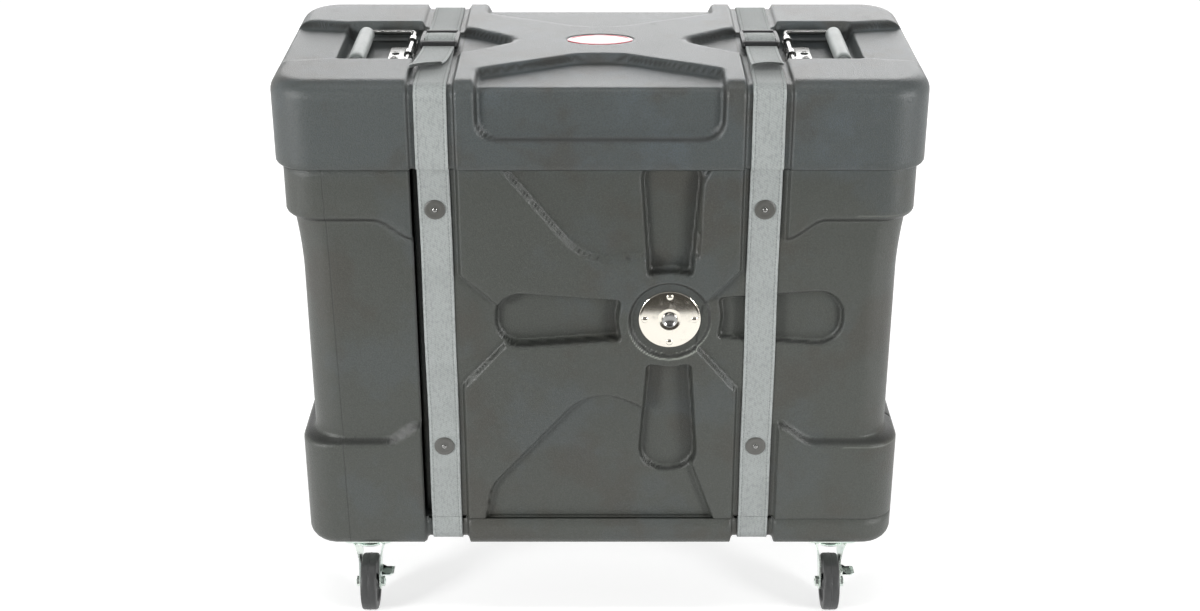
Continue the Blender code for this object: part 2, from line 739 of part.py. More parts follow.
def lid_shell(finish):
    lid = lid_form("lid_shell", 0.0, LID_RIM, finish)
    cut(lid, lid_hollow(), lid_pocket("front", 0.0), lid_pocket("rear", math.pi))
    for side, sign in SIDES.items():
        shallow = prism(f"bay_{side}", mirrored(bay_outline(), sign), "Z", BAY_FLOOR, FAR)
        cut(lid, shallow, handle_bay(f"handle_bay_{side}", sign, 0.0, HANDLE_BAY_FLOOR))
        middle = sign * STRAP_X
        half = CHANNEL_WIDTH / 2
        groove = box(f"lid_channel_{side}", (middle - half, -FAR, 0), (middle + half, FAR, FAR))
        cut(groove, lid_form(f"channel_core_{side}", CHANNEL_DEPTH, LID_RIM - CASE_WALL))
        cut(lid, groove)
        for i, y in enumerate((-HINGE_SCREW_Y, HINGE_SCREW_Y)):
            place = (sign * hinge_plate_middle(), y)
            cut(lid, disc(f"screw_hole_{side}_{i}", place, HINGE_SCREW_RADIUS + PIN_GAP, "Z",
                          0, FAR, steps=10))
    badge_hole = [(x * (BADGE_HALF_WIDTH + PIN_GAP), y * (BADGE_HALF_DEPTH + PIN_GAP))
                  for x, y in circle((0, 0), 1, 40)]
    cut(lid, prism("badge_seat", badge_hole, "Z", LID_TOP - BADGE_THICKNESS - SEAT_GAP, FAR))
    return lid


def badge(finish):
    oval = [(x * BADGE_HALF_WIDTH, y * BADGE_HALF_DEPTH) for x, y in circle((0, 0), 1, 40)]
    return prism("badge", oval, "Z", LID_TOP - BADGE_THICKNESS, LID_TOP, finish)


def hinge_plate_middle():
    return PIVOT_X + HINGE_EAR_WALL + BAIL_RADIUS + HINGE_PLATE_WIDTH / 2


def handle(side, steel, rubber):
    """A folding bail with its grip, on a hinge plate screwed into the lid's bay."""
    sign = SIDES[side]
    floor = HANDLE_BAY_FLOOR + SEAT_GAP
    eye = BAIL_RADIUS + PIN_GAP
    near = PIVOT_X - eye - HINGE_EAR_WALL
    far = hinge_plate_middle() + HINGE_PLATE_WIDTH / 2
    spans = sorted((sign * near, sign * far))
    half = HINGE_PLATE_LENGTH / 2
    plate = box(f"hinge_plate_{side}", (spans[0], -half, floor),
                (spans[1], half, floor + HINGE_PLATE_THICKNESS), steel)
    ear_outline = [
        (sign * near, floor),
        (sign * (PIVOT_X + eye + HINGE_EAR_WALL), floor),
        (sign * (PIVOT_X + eye + HINGE_EAR_WALL), BAIL_HEIGHT + eye),
        (sign * (PIVOT_X + eye), BAIL_HEIGHT + eye + HINGE_EAR_WALL),
        (sign * (PIVOT_X - eye), BAIL_HEIGHT + eye + HINGE_EAR_WALL),
        (sign * near, BAIL_HEIGHT + eye),
    ]
    for end in (-1, 1):
        middle = end * HINGE_EAR_Y
        join(plate, prism(f"ear_{side}_{end}", ear_outline, "Y", middle - HINGE_EAR_WIDTH / 2,
                          middle + HINGE_EAR_WIDTH / 2))
    cut(plate, disc(f"eye_{side}", (sign * PIVOT_X, BAIL_HEIGHT), eye, "Y", -half * 2, half * 2,
                    steps=16))
    head = floor + HINGE_PLATE_THICKNESS + SEAT_GAP
    for tag, y in (("front", -HINGE_SCREW_Y), ("rear", HINGE_SCREW_Y)):
        place = (sign * hinge_plate_middle(), y)
        cut(plate, disc(f"plate_screw_hole_{side}_{tag}", place, HINGE_SCREW_RADIUS + PIN_GAP,
                        "Z", 0, FAR, steps=10))
        screw = disc(f"hinge_screw_{side}_{tag}", place, HINGE_SCREW_HEAD_RADIUS, "Z", head,
                     head + HINGE_SCREW_HEAD_HEIGHT, steel, 16)
        join(screw, disc(f"screw_shank_{side}_{tag}", place, HINGE_SCREW_RADIUS, "Z",
                         HANDLE_BAY_FLOOR - LID_WALL, head + HINGE_SCREW_HEAD_HEIGHT / 2, steps=10))
    pivot = (sign * PIVOT_X, 0, BAIL_HEIGHT)
    reach, across = HANDLE_REACH, BAIL_HALF_LENGTH
    loop = rounded([(0, -across, BAIL_CORNER), (reach, -across, BAIL_CORNER),
                    (reach, across, BAIL_CORNER), (0, across, BAIL_CORNER)])
    route = bpy.data.curves.new(f"handle_bail_{side}", "CURVE")
    route.dimensions = "3D"
    route.bevel_depth = BAIL_RADIUS
    route.bevel_resolution = 2
    spline = route.splines.new("POLY")
    spline.points.add(len(loop) - 1)
    for point, (x, y) in zip(spline.points, loop):
        point.co = (sign * x, y, 0, 1)
    spline.use_cyclic_u = True
    route.materials.append(steel)
    bail = bpy.data.objects.new(route.name, route)
    bpy.context.scene.collection.objects.link(bail)
    bail.location = pivot
    centre = (sign * GRIP_X, BAIL_HEIGHT)
    grip = disc(f"handle_grip_{side}", centre, GRIP_RADIUS, "Y", -GRIP_LENGTH / 2,
                GRIP_LENGTH / 2, rubber, 20)
    cut(grip, disc(f"grip_bore_{side}", centre, BAIL_RADIUS + PIN_GAP, "Y", -GRIP_LENGTH,
                   GRIP_LENGTH, steps=16))
    pivot_at(grip, pivot)


def ribbon(name, path, middle, finish):
    """Webbing of even thickness laid along an open path of (y, z) points, its outer face on it."""
    points = [Vector(p) for p in path]
    inner = []
    for i, here in enumerate(points):
        back = (here - points[max(i - 1, 0)]).normalized()
        ahead = (points[min(i + 1, len(points) - 1)] - here).normalized()
        heading = (back + ahead).normalized()
        stretch = 1 / max(heading.dot(ahead if i + 1 < len(points) else back), 0.5)
        inner.append(here + Vector((heading.y, -heading.x)) * STRAP_THICKNESS * stretch)
    outline = [tuple(p) for p in points] + [tuple(p) for p in reversed(inner)]
    half = STRAP_WIDTH / 2
    return prism(name, outline, "X", middle - half, middle + half, finish)


def open_corner(corner, before, after, radius):
    """The arc that rounds one corner of an open path."""
    return rounded([(*before, 0), (*corner, radius), (*after, 0)], 5)[1:-1]


def strap(side, webbing, plastic, steel):
    """One strap in its three runs, its buckle and tail, and the rivets that hold it to the door."""
    sign = SIDES[side]
    middle = sign * STRAP_X
    half = STRAP_WIDTH / 2
    front = box(f"strap_front_{side}", (middle - half, STRAP_FACE, DOOR_BOTTOM),
                (middle + half, STRAP_FACE + STRAP_THICKNESS, DOOR_TOP), webbing)
    cut(front, *strap_holes(f"strap_hole_{side}", sign, -FAR, 0))
    pivot_at(front, (middle, FRONT, DOOR_BOTTOM))
    face = STRAP_FACE
    under = BASE_HEIGHT + CHANNEL_DEPTH - SEAT_GAP - STRAP_THICKNESS
    start = (face, DOOR_BOTTOM - DOOR_GAP)
    end = (-face, LID_RIM - DOOR_GAP)
    bend = CHANNEL_BEND + SEAT_GAP + STRAP_THICKNESS
    path = [start, *open_corner((face, under), start, (0, under), bend),
            *open_corner((-face, under), (0, under), end, bend), end]
    ribbon(f"strap_rear_{side}", path[::-1], middle, webbing)
    outer = LID_HALF_Y - CHANNEL_DEPTH + SEAT_GAP + STRAP_THICKNESS
    first, last = (-outer, LID_RIM + SEAT_GAP), (outer, LID_RIM + SEAT_GAP)
    bend = LID_FILLET - CHANNEL_DEPTH + STRAP_THICKNESS
    top = (0, LID_STRAP_TOP)
    path = [first, *open_corner((-outer, LID_STRAP_TOP), first, top, bend),
            *open_corner((outer, LID_STRAP_TOP), top, last, bend), last]
    ribbon(f"strap_top_{side}", path, middle, webbing)
    buckle_half = BUCKLE_LENGTH / 2
    seat = LID_STRAP_TOP + SEAT_GAP
    width = half + BUCKLE_RIM
    outline = rounded([(-buckle_half, seat, 0), (buckle_half, seat, 0),
                       (buckle_half, seat + BUCKLE_REAR_HEIGHT, BUCKLE_ROUND),
                       (0, seat + BUCKLE_MIDDLE_HEIGHT, BUCKLE_ROUND),
                       (-buckle_half, seat + BUCKLE_FRONT_HEIGHT, BUCKLE_ROUND)])
    buckle = prism(f"buckle_{side}", outline, "X", middle - width, middle + width, plastic)
    slot = (BUCKLE_LENGTH - 3 * BUCKLE_BAR) / 2
    for i, low in enumerate((-buckle_half + BUCKLE_BAR, BUCKLE_BAR / 2)):
        cut(buckle, box(f"buckle_slot_{side}_{i}", (middle - half, low, 0),
                        (middle + half, low + slot, FAR)))
    tail_start = -buckle_half - SEAT_GAP
    tail = [(tail_start - TAIL_LENGTH * step / 2, seat + STRAP_THICKNESS + lift)
            for step, lift in enumerate(TAIL_LIFTS)]
    ribbon(f"strap_tail_{side}", tail[::-1], middle, webbing)
    washer_back = STRAP_FACE - SEAT_GAP
    washer_face = washer_back - STRAP_WASHER_THICKNESS
    for tag, height in zip(("low", "high"), STRAP_WASHER_HEIGHTS):
        place = (middle, height)
        washer = disc(f"strap_washer_{side}_{tag}", place, STRAP_WASHER_RADIUS, "Y", washer_face,
                      washer_back, plastic)
        cut(washer, disc(f"washer_hole_{side}_{tag}", place, STRAP_RIVET_RADIUS + PIN_GAP, "Y",
                         -FAR, 0, steps=10))
        head = washer_face - SEAT_GAP
        rivet = disc(f"strap_rivet_{side}_{tag}", place, RIVET_HEAD_RADIUS, "Y",
                     head - RIVET_HEAD_HEIGHT, head, steel, 12)
        join(rivet, disc(f"strap_rivet_shank_{side}_{tag}", place, STRAP_RIVET_RADIUS, "Y",
                         head - RIVET_HEAD_HEIGHT / 2, WAIST_FRONT + CASE_WALL, steps=10))


def wheel(name, centre, finish):
    """A turned wheel about X, with its hub proud of the tread on both sides."""
    half, hub = WHEEL_WIDTH / 2, HUB_WIDTH / 2
    bore = AXLE_RADIUS + PIN_GAP
    profile = [(bore, -hub), (HUB_RADIUS, -hub), (HUB_RADIUS + HUB_SLOPE, -half),
               (WHEEL_RADIUS - WHEEL_ROUND, -half), (WHEEL_RADIUS, -half + WHEEL_ROUND),
               (WHEEL_RADIUS, half - WHEEL_ROUND), (WHEEL_RADIUS - WHEEL_ROUND, half),
               (HUB_RADIUS + HUB_SLOPE, half), (HUB_RADIUS, hub), (bore, hub)]
    shape = bmesh.new()
    rings = []
    for i in range(WHEEL_STEPS):
        turn = 2 * math.pi * i / WHEEL_STEPS
        rings.append([shape.verts.new((x, r * math.cos(turn), r * math.sin(turn)))
                      for r, x in profile])
    for i, ring in enumerate(rings):
        after = rings[(i + 1) % WHEEL_STEPS]
        for j in range(len(profile)):
            k = (j + 1) % len(profile)
            shape.faces.new((ring[j], ring[k], after[k], after[j]))
    made = finished(name, shape, finish)
    made.location = centre
    return made


def caster(corner, x, y, zinc, rubber, brake):
    """A plate and raceway, a swivelling fork, its wheel on an axle, and a brake tab in front."""
    away = 1 if y > 0 else -1
    plate_top = BASE_HEIGHT - SEAT_GAP
    race_top = plate_top - MOUNT_PLATE_THICKNESS
    race_low = race_top - RACEWAY_HEIGHT
    half = MOUNT_PLATE_SIDE / 2
    mount = box(f"caster_mount_{corner}", (x - half, y - half, race_top),
                (x + half, y + half, plate_top), zinc)
    join(mount, disc(f"raceway_{corner}", (x, y), RACEWAY_RADIUS, "Z", race_low,
                     race_top + MOUNT_PLATE_THICKNESS / 2))
    axle_y = y + away * CASTER_TRAIL
    crown_low = FORK_TOP - FORK_CROWN_THICKNESS
    fork = disc(f"caster_fork_{corner}", (x, y), FORK_CROWN_RADIUS, "Z", crown_low, FORK_TOP, zinc)
    leg_outline = rounded([
        (y - away * FORK_LEG_TOP_HALF, FORK_TOP - SEAT_GAP, 0),
        (y + away * FORK_LEG_TOP_HALF, FORK_TOP - SEAT_GAP, 0),
        (axle_y + away * FORK_LEG_TIP_HALF, WHEEL_RADIUS, FORK_LEG_ROUND),
        (axle_y, WHEEL_RADIUS - FORK_LEG_TIP_HALF, FORK_LEG_ROUND),
        (axle_y - away * FORK_LEG_TIP_HALF, WHEEL_RADIUS, FORK_LEG_ROUND),
    ], 3)
    for tag, side in SIDES.items():
        faces = sorted((x + side * (LEG_FACE - FORK_WALL), x + side * LEG_FACE))
        join(fork, prism(f"fork_leg_{corner}_{tag}", leg_outline, "X", *faces))
    join(fork, box(f"fork_bridge_{corner}", (x - LEG_FACE, y - FORK_BRIDGE_HALF, crown_low),
                   (x + LEG_FACE, y + FORK_BRIDGE_HALF, FORK_TOP - SEAT_GAP)))
    axle_centre = (axle_y, WHEEL_RADIUS)
    cut(fork, disc(f"fork_bore_{corner}", axle_centre, AXLE_RADIUS + PIN_GAP, "X", x - 1, x + 1,
                   steps=16))
    pivot_at(fork, (x, y, FORK_TOP))
    wheel(f"caster_wheel_{corner}", (x, axle_y, WHEEL_RADIUS), rubber)
    reach = LEG_FACE + SEAT_GAP + AXLE_HEAD_LENGTH
    axle = disc(f"caster_axle_{corner}", axle_centre, AXLE_RADIUS, "X", x - reach, x + reach, zinc,
                16)
    for tag, side in SIDES.items():
        span = sorted((x + side * (LEG_FACE + SEAT_GAP), x + side * (reach - SEAT_GAP)))
        join(axle, disc(f"axle_nut_{corner}_{tag}", axle_centre, AXLE_HEAD_RADIUS, "X", *span,
                        steps=6))
    pivot_at(axle, (x, axle_y, WHEEL_RADIUS))
    if brake:
        brake_tab(corner, x + LEG_FACE + SEAT_GAP, axle_y, zinc)


def brake_tab(corner, face, middle, zinc):
    """A bent tab against the fork's leg, pressed down by a toe to hold the wheel."""
    thick = BRAKE_THICKNESS
    high = BRAKE_PIVOT_HEIGHT
    outline = [
        (face, high),
        (face + BRAKE_LENGTH - BRAKE_LIP, high),
        (face + BRAKE_LENGTH, high + BRAKE_LIP),
        (face + BRAKE_LENGTH - thick, high + BRAKE_LIP),
        (face + BRAKE_LENGTH - BRAKE_LIP - thick / 2, high + thick),
        (face + thick, high + thick),
        (face + thick, high + BRAKE_FLANGE),
        (face, high + BRAKE_FLANGE),
    ]
    half = BRAKE_WIDTH / 2
    tab = prism(f"brake_tab_{corner}", outline, "Y", middle - half, middle + half, zinc)
    pivot_at(tab, (face, middle, high))


def main():
    clear_scene()
    moulded = material("moulded_plastic", (0.055, 0.060, 0.060), 0.55)
    webbing = material("webbing", (0.30, 0.31, 0.31), 0.75)
    plastic = material("dark_plastic", (0.05, 0.05, 0.052), 0.45)
    nickel = material("nickel", (0.85, 0.82, 0.74), 0.12, 1.0)
    steel = material("steel", (0.75, 0.76, 0.77), 0.25, 1.0)
    zinc = material("zinc", (0.72, 0.78, 0.76), 0.3, 1.0)
    rubber = material("rubber", (0.06, 0.06, 0.065), 0.6)
    felt = material("felt", (0.08, 0.08, 0.085), 0.95)
    nylon = material("nylon", (0.75, 0.74, 0.70), 0.5)
    red = material("badge_enamel", (0.55, 0.04, 0.06), 0.3)
    case_body(moulded)
    lid_shell(moulded)
    vault_door(moulded)
    vault_fittings(nickel, steel, felt, nylon)
    badge(red)
    for side in SIDES:
        handle(side, steel, rubber)
        strap(side, webbing, plastic, steel)
    for depth, y in (("front", -CASTER_Y), ("rear", CASTER_Y)):
        for side, sign in SIDES.items():
            caster(f"{depth}_{side}", sign * CASTER_X, y, zinc, rubber, depth == "front")


main()
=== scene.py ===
"""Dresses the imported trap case: moulded shells, webbing, metal fittings, casters and a studio.

Metres, +X right, +Y to the back, +Z up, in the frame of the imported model.
"""

import json
import math

import bmesh
import bpy
import numpy as np
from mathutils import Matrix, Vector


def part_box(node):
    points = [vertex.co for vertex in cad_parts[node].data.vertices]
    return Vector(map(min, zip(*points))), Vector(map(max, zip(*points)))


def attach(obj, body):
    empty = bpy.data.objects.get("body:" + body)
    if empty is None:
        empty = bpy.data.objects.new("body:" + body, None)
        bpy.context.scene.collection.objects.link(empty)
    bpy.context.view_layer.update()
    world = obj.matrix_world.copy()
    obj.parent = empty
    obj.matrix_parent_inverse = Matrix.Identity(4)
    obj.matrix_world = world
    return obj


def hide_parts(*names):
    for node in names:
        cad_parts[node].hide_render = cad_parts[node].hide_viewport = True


bl_info = {
    "name": "Drum Trap Case",
    "version": (1, 0, 0),
    "blender": (4, 5, 0),
    "location": "View3D > Sidebar > Trap Case",
    "description": "Moulded shells, straps, handles, vault fittings and casters of a drum trap case",
    "category": "Object",
}

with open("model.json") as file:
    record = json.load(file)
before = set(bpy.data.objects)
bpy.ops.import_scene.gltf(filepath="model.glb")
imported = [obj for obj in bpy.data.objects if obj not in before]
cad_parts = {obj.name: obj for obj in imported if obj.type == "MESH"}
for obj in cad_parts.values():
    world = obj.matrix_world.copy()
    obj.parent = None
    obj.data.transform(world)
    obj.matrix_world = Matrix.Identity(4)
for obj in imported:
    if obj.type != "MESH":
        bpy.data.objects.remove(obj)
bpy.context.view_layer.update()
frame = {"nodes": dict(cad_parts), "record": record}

SIDES = {"left": -1, "right": 1}
CORNERS = ("front_left", "front_right", "rear_left", "rear_right")
LID_LOW, LID_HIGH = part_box("lid_shell")
BODY_LOW, BODY_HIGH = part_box("case_body")
DOOR_LOW, DOOR_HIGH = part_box("vault_door")


def length(name, description, default):
    """A size in metres for the sidebar."""
    return bpy.props.FloatProperty(name=name, description=description, default=default,
                                   unit="LENGTH", precision=4)


def colour(name, description, default):
    """A linear colour for the sidebar."""
    return bpy.props.FloatVectorProperty(name=name, description=description, default=default,
                                         size=3, min=0.0, max=1.0, subtype="COLOR")


class CaseSizes(bpy.types.PropertyGroup):
    """Sizes of the moulded shells"""

    wall: length("Wall", "Thickness of the moulded walls", 0.0045)
    body_corner: length("Body corner", "Radius of the body's upright corners", 0.040)
    body_fillet: length("Base fillet", "Radius of the base's lower edge", 0.018)
    lower_band: length("Lower band top", "Height of the lower band's upper edge", 0.250)
    upper_band: length("Upper band bottom", "Height of the upper band's lower edge", 0.562)
    waist_side: length("Waist at the ends", "How far the waist is drawn in at the ends", 0.015)
    cove: length("Cove", "Height over which the ends curve out to the upper band", 0.085)
    waist_front: length("Waist at the front", "How far the waist is drawn in at front and back", 0.009)
    neck: length("Neck inset", "How far the neck under the lid is drawn in", 0.008)
    flare_width: length("Flare width", "Length of the swelling of a band beside a strap", 0.045)
    flare_height: length("Flare height", "Height of that swelling", 0.024)
    lid_corner: length("Lid corner", "Radius of the lid's upright corners", 0.048)
    lid_fillet: length("Lid fillet", "Radius of the lid's upper edge", 0.020)
    pocket_depth: length("Pocket depth", "Depth of the pockets in the lid", 0.010)
    bay_depth: length("Bay depth", "Depth of the shallow bays round the handles", 0.010)
    handle_bay_depth: length("Handle bay depth", "Depth of the handles' bays", 0.023)
    petal_depth: length("Petal depth", "Depth of the four petals round the plate", 0.018)
    rebate: length("Rebate", "Depth of the dark gap along the door's left edge", 0.024)
    dish_depth: length("Dish depth", "Depth of the round dish that holds the plate", 0.007)


class StrapSizes(bpy.types.PropertyGroup):
    """Sizes of the webbing and its buckles"""

    middle: length("Strap distance", "Distance of each strap from the middle", 0.195)
    width: length("Webbing width", "Width of the webbing", 0.038)
    thickness: length("Webbing thickness", "Thickness of the webbing", 0.0016)
    channel: length("Channel width", "Width of the groove that a strap lies in", 0.054)
    channel_depth: length("Channel depth", "Depth of that groove in the lid and base", 0.006)


class Finishes(bpy.types.PropertyGroup):
    """Colours of the finishes"""

    plastic: colour("Moulded plastic", "Colour of the shells", (0.070, 0.0745, 0.066))
    tint: colour("Bluish bloom", "Colour of the faint blotches on the shells", (0.066, 0.079, 0.087))
    warm: colour("Brownish cast", "Colour of the warm patches on the shells", (0.080, 0.072, 0.060))
    webbing: colour("Webbing", "Colour of the straps", (0.38, 0.405, 0.397))
    buckle: colour("Buckle", "Colour of the buckles", (0.012, 0.0125, 0.013))
    washer: colour("Washer", "Colour of the strap washers", (0.062, 0.062, 0.054))
    grip: colour("Grip", "Colour of the handle grips", (0.36, 0.385, 0.375))
    rubber: colour("Wheel", "Colour of the wheels", (0.052, 0.053, 0.053))
    nickel: colour("Nickel", "Colour of the polished plate", (0.86, 0.82, 0.73))
    steel: colour("Steel", "Colour of bright steel", (0.33, 0.33, 0.32))
    zinc: colour("Zinc", "Colour of the plated casters", (0.66, 0.80, 0.76))
    badge: colour("Badge", "Colour of the oval badge", (0.62, 0.035, 0.06))
    felt: colour("Felt", "Colour of the felt pads", (0.05, 0.05, 0.053))
    nylon: colour("Nylon", "Colour of the stud's sleeve", (0.72, 0.71, 0.67))


class StudioSettings(bpy.types.PropertyGroup):
    """The camera and the light"""

    camera_back: length("Camera distance", "How far the camera stands in front", 2.159)
    camera_height: length("Camera height", "Height of the camera", 1.371)
    camera_pitch: bpy.props.FloatProperty(name="Camera pitch", description="Tilt below the level",
                                          default=math.radians(24.9), subtype="ANGLE")
    lens: bpy.props.FloatProperty(name="Lens", description="Focal length in millimetres",
                                  default=54.66, unit="CAMERA")
    sky: bpy.props.FloatProperty(name="Sky", description="Strength of the even light", default=0.70)
    zenith: bpy.props.FloatProperty(name="Zenith", description="Share of it straight above",
                                    default=0.30)
    overhead: bpy.props.FloatProperty(name="Overhead", description="Overhead lamp in watts",
                                      default=11.0)
    key: bpy.props.FloatProperty(name="Key", description="Front lamp in watts", default=70.0)
    back: bpy.props.FloatProperty(name="Back", description="Wide lamp behind the case, in watts",
                                  default=54.0)
    paper: bpy.props.FloatProperty(name="Paper", description="Colour of the floor, 0 to 1",
                                   default=0.62)


# Shader graphs written as expressions


class Value:
    """A shader socket that takes part in Python expressions, each of which adds Math nodes."""

    def __init__(self, graph, socket):
        self.graph = graph
        self.socket = socket

    def math(self, operation, *terms):
        """A Math node of Values and numbers."""
        return self.graph.node("ShaderNodeMath", {"operation": operation}, dict(enumerate(terms)))

    def __add__(self, other):
        return self.math("ADD", self, other)

    def __sub__(self, other):
        return self.math("SUBTRACT", self, other)

    def __rsub__(self, other):
        return self.math("SUBTRACT", other, self)

    def __mul__(self, other):
        return self.math("MULTIPLY", self, other)

    __radd__ = __add__
    __rmul__ = __mul__

    def sine(self):
        """The sine of an angle in radians."""
        return self.math("SINE", self)

    def absolute(self):
        """The value without its sign."""
        return self.math("ABSOLUTE", self)

    def most(self, other):
        """The greater of two values."""
        return self.math("MAXIMUM", self, other)

    def between(self, low, high):
        """0 below low, 1 above high, and a smooth step from one to the other."""
        settings = {"interpolation_type": "SMOOTHSTEP"}
        return self.graph.node("ShaderNodeMapRange", settings, {0: self, 1: low, 2: high})


class Graph:
    """The nodes of a new material, or of the world."""

    def __init__(self, name, world=None):
        self.owner = world or bpy.data.materials.new(name)
        self.owner.use_nodes = True
        self.tree = self.owner.node_tree

    def feed(self, socket, value):
        """Links a Value to a socket, or sets the socket to a number or colour."""
        if isinstance(value, Value):
            self.tree.links.new(value.socket, socket)
        elif socket.type == "RGBA":
            socket.default_value = (*value, 1.0)
        else:
            socket.default_value = value

    def node(self, kind, settings=None, feeds=None, output=0):
        """Adds a node, sets and feeds it, and gives one of its outputs."""
        made = self.tree.nodes.new(kind)
        for name, value in (settings or {}).items():
            setattr(made, name, value)
        for name, value in (feeds or {}).items():
            self.feed(made.inputs[name], value)
        return Value(self, made.outputs[output])

    def place(self, output="Object"):
        """Object or UV coordinates."""
        return self.node("ShaderNodeTexCoord", output=output)

    def outputs(self, kind, feeds=None):
        """All outputs of a new node, by name."""
        made = self.node(kind, feeds=feeds).socket.node
        return {socket.name: Value(self, socket) for socket in made.outputs}

    def axes(self, vector):
        """The three parts of a vector."""
        return self.outputs("ShaderNodeSeparateXYZ", {0: vector}).values()

    def stretched(self, vector, scale):
        """Coordinates multiplied axis by axis."""
        return self.node("ShaderNodeMapping", feeds={"Vector": vector, "Scale": scale})

    def noise(self, vector, scale, detail=2.0, roughness=0.5):
        """Soft noise about 0.5, finer with scale."""
        feeds = {"Vector": vector, "Scale": scale, "Detail": detail, "Roughness": roughness}
        return self.node("ShaderNodeTexNoise", feeds=feeds)

    def cells(self, vector, scale):
        """Distance to the nearest of scattered points, in cells."""
        return self.node("ShaderNodeTexVoronoi", feeds={"Vector": vector, "Scale": scale})

    def blend(self, factor, first, second):
        """Mixes two colours."""
        feeds = {0: factor, 6: first, 7: second}
        return self.node("ShaderNodeMix", {"data_type": "RGBA"}, feeds, output=2)

    def layered(self, tone, layers):
        """A tone under layers of (share, colour, brightness), each mixed over the last."""
        for share, layer, brightness in layers:
            tone = self.blend(share, tone, scaled(layer, brightness))
        return tone

    def bump(self, height, distance, strength):
        """A normal from a height of 0 to 1 over this distance in metres."""
        feeds = {"Height": height, "Distance": distance, "Strength": strength}
        return self.node("ShaderNodeBump", feeds=feeds)

    def surface(self, **sockets):
        """Feeds the shader: names have underscores for the sockets' spaces."""
        inputs = self.tree.nodes["Principled BSDF"].inputs
        for name, value in sockets.items():
            self.feed(inputs[name.replace("_", " ")], value)
        return self.owner


def scaled(colour_value, factor):
    """A colour made darker or lighter, no part above 1."""
    return tuple(min(1.0, part * factor) for part in colour_value)


def moulded_plastic(look):
    """Satin moulded polyethylene: a fine pebble, bluish and brownish clouds, scuffs, painted shade in its
    recesses and painted highlights on its rims from the mesh's own attribute, and a mould line down the left
    pillar."""
    g = Graph("moulded_plastic")
    place = g.place()
    across, _, up = g.axes(place)
    lid = up.between(0.600, 0.640)
    seam_x, seam_lean = 0.318, 0.012
    seam = (across + seam_x + up * seam_lean).absolute().between(0.0004, 0.0011).most(lid)
    pebble = g.cells(place, 620.0)
    grain = g.noise(place, 1500.0, 2.0)
    speck = g.noise(place, 430.0, 3.0, 0.7)
    cloud = g.noise(place, 7.0, 5.0, 0.65)
    brown = g.noise(place, 9.0, 4.0, 0.6)
    drift = g.noise(place, 2.3, 2.0).between(0.35, 0.70)
    scuff = g.noise(g.stretched(place, (9.0, 9.0, 60.0)), 3.0, 5.0, 0.7).between(0.60, 0.80)
    # Painted light read from the mesh: painted shade where above 0, painted highlight where below 0
    painted_relief_light = g.node("ShaderNodeAttribute", {"attribute_name": "grime"}, output=2)
    tone = g.layered(g.blend(lid * 0.40 + 0.05, look.plastic, look.tint), [
        (cloud.between(0.50, 0.62) * (0.35 + lid * 0.45), look.tint, 1.30),
        (drift * 0.30, look.plastic, 1.15),
        (lid * 0.24, look.tint, 1.75),
        (brown.between(0.50, 0.62) * 0.55, look.warm, 0.80),
        (scuff * 0.20, look.plastic, 1.9),
        (speck.between(0.42, 0.72) * 0.42, look.plastic, 1.55),
        (pebble.between(0.30, 0.75) * 0.30, look.plastic, 0.55),
        ((1 - seam) * 0.5, look.plastic, 0.45),
        # Painted shade darkens recesses and walls; painted highlights lighten rims and feet
        (painted_relief_light.between(0.0, 1.0) * 0.80, look.plastic, 0.18),
        ((0.0 - painted_relief_light).between(0.0, 0.6) * 0.80, look.plastic, 4.0)])
    rough = 0.32 + scuff * 0.16 + drift * 0.05 + grain * 0.08
    relief = pebble * 0.5 + grain * 0.5 + seam * 0.8
    return g.surface(Base_Color=tone, Roughness=rough, Normal=g.bump(relief, 0.00055, 0.85),
                     IOR=1.48)


def woven(look):
    """Webbing from its own UV map, in metres: ribs across, a twill along, and darker stitched edges."""
    g = Graph("strap_webbing")
    across, along, _ = g.axes(g.place("UV"))
    edge = across.absolute()
    ribs, twills, stitches = (2 * math.pi / pitch for pitch in (0.0021, 0.0029, 0.0046))
    thread = (across * ribs).sine() * ((along + across * 0.8) * twills).sine() * 0.5 + 0.5
    stitch = (along * stitches).sine().between(-0.5, 0.5)
    seam = edge.between(0.0143, 0.0150) * (1 - edge.between(0.0156, 0.0163))
    hem = edge.between(0.0150, 0.0160)
    place = g.place()
    soil = g.noise(place, 16.0, 5.0, 0.65).between(0.42, 0.78)
    fuzz = g.noise(place, 900.0, 3.0)
    slub = g.noise(g.stretched(place, (420.0, 420.0, 170.0)), 1.0, 3.0, 0.6)
    tone = g.layered(scaled(look.webbing, 1.12), [
        (thread * 0.55, look.webbing, 0.60),
        (hem * 0.45, look.webbing, 1.28),
        (seam * (0.22 + stitch * 0.40), look.webbing, 0.40),
        (soil * 0.35, look.webbing, 0.62),
        (fuzz * 0.18, look.webbing, 1.3),
        (slub.between(0.45, 0.65) * 0.45, look.webbing, 0.60)])
    height = thread * 0.55 + fuzz * 0.25 - seam * 0.9 + hem * 0.3
    return g.surface(Base_Color=tone, Roughness=0.82 - thread * 0.08,
                     Normal=g.bump(height, 0.0005, 0.7), Sheen_Weight=0.25, Sheen_Roughness=0.5)


def plain(name, tone, roughness, grain_scale, grain, metallic=0.0, depth=0.0002, **extra):
    """A finish with a fine grain, a slow drift of its tone and roughness, and no pattern."""
    g = Graph(name)
    place = g.place()
    fine = g.noise(place, grain_scale, 3.0)
    slow = g.noise(place, 30.0, 3.0, 0.6)
    mixed = g.layered(tone, [(fine.between(0.3, 0.7) * grain, tone, 1.3),
                             (slow.between(0.4, 0.75) * grain, tone, 0.72)])
    rough = roughness + fine * (grain * 0.25) + slow * (grain * 0.2)
    return g.surface(Base_Color=mixed, Roughness=rough, Metallic=metallic,
                     Normal=g.bump(fine, depth, 0.6), **extra)


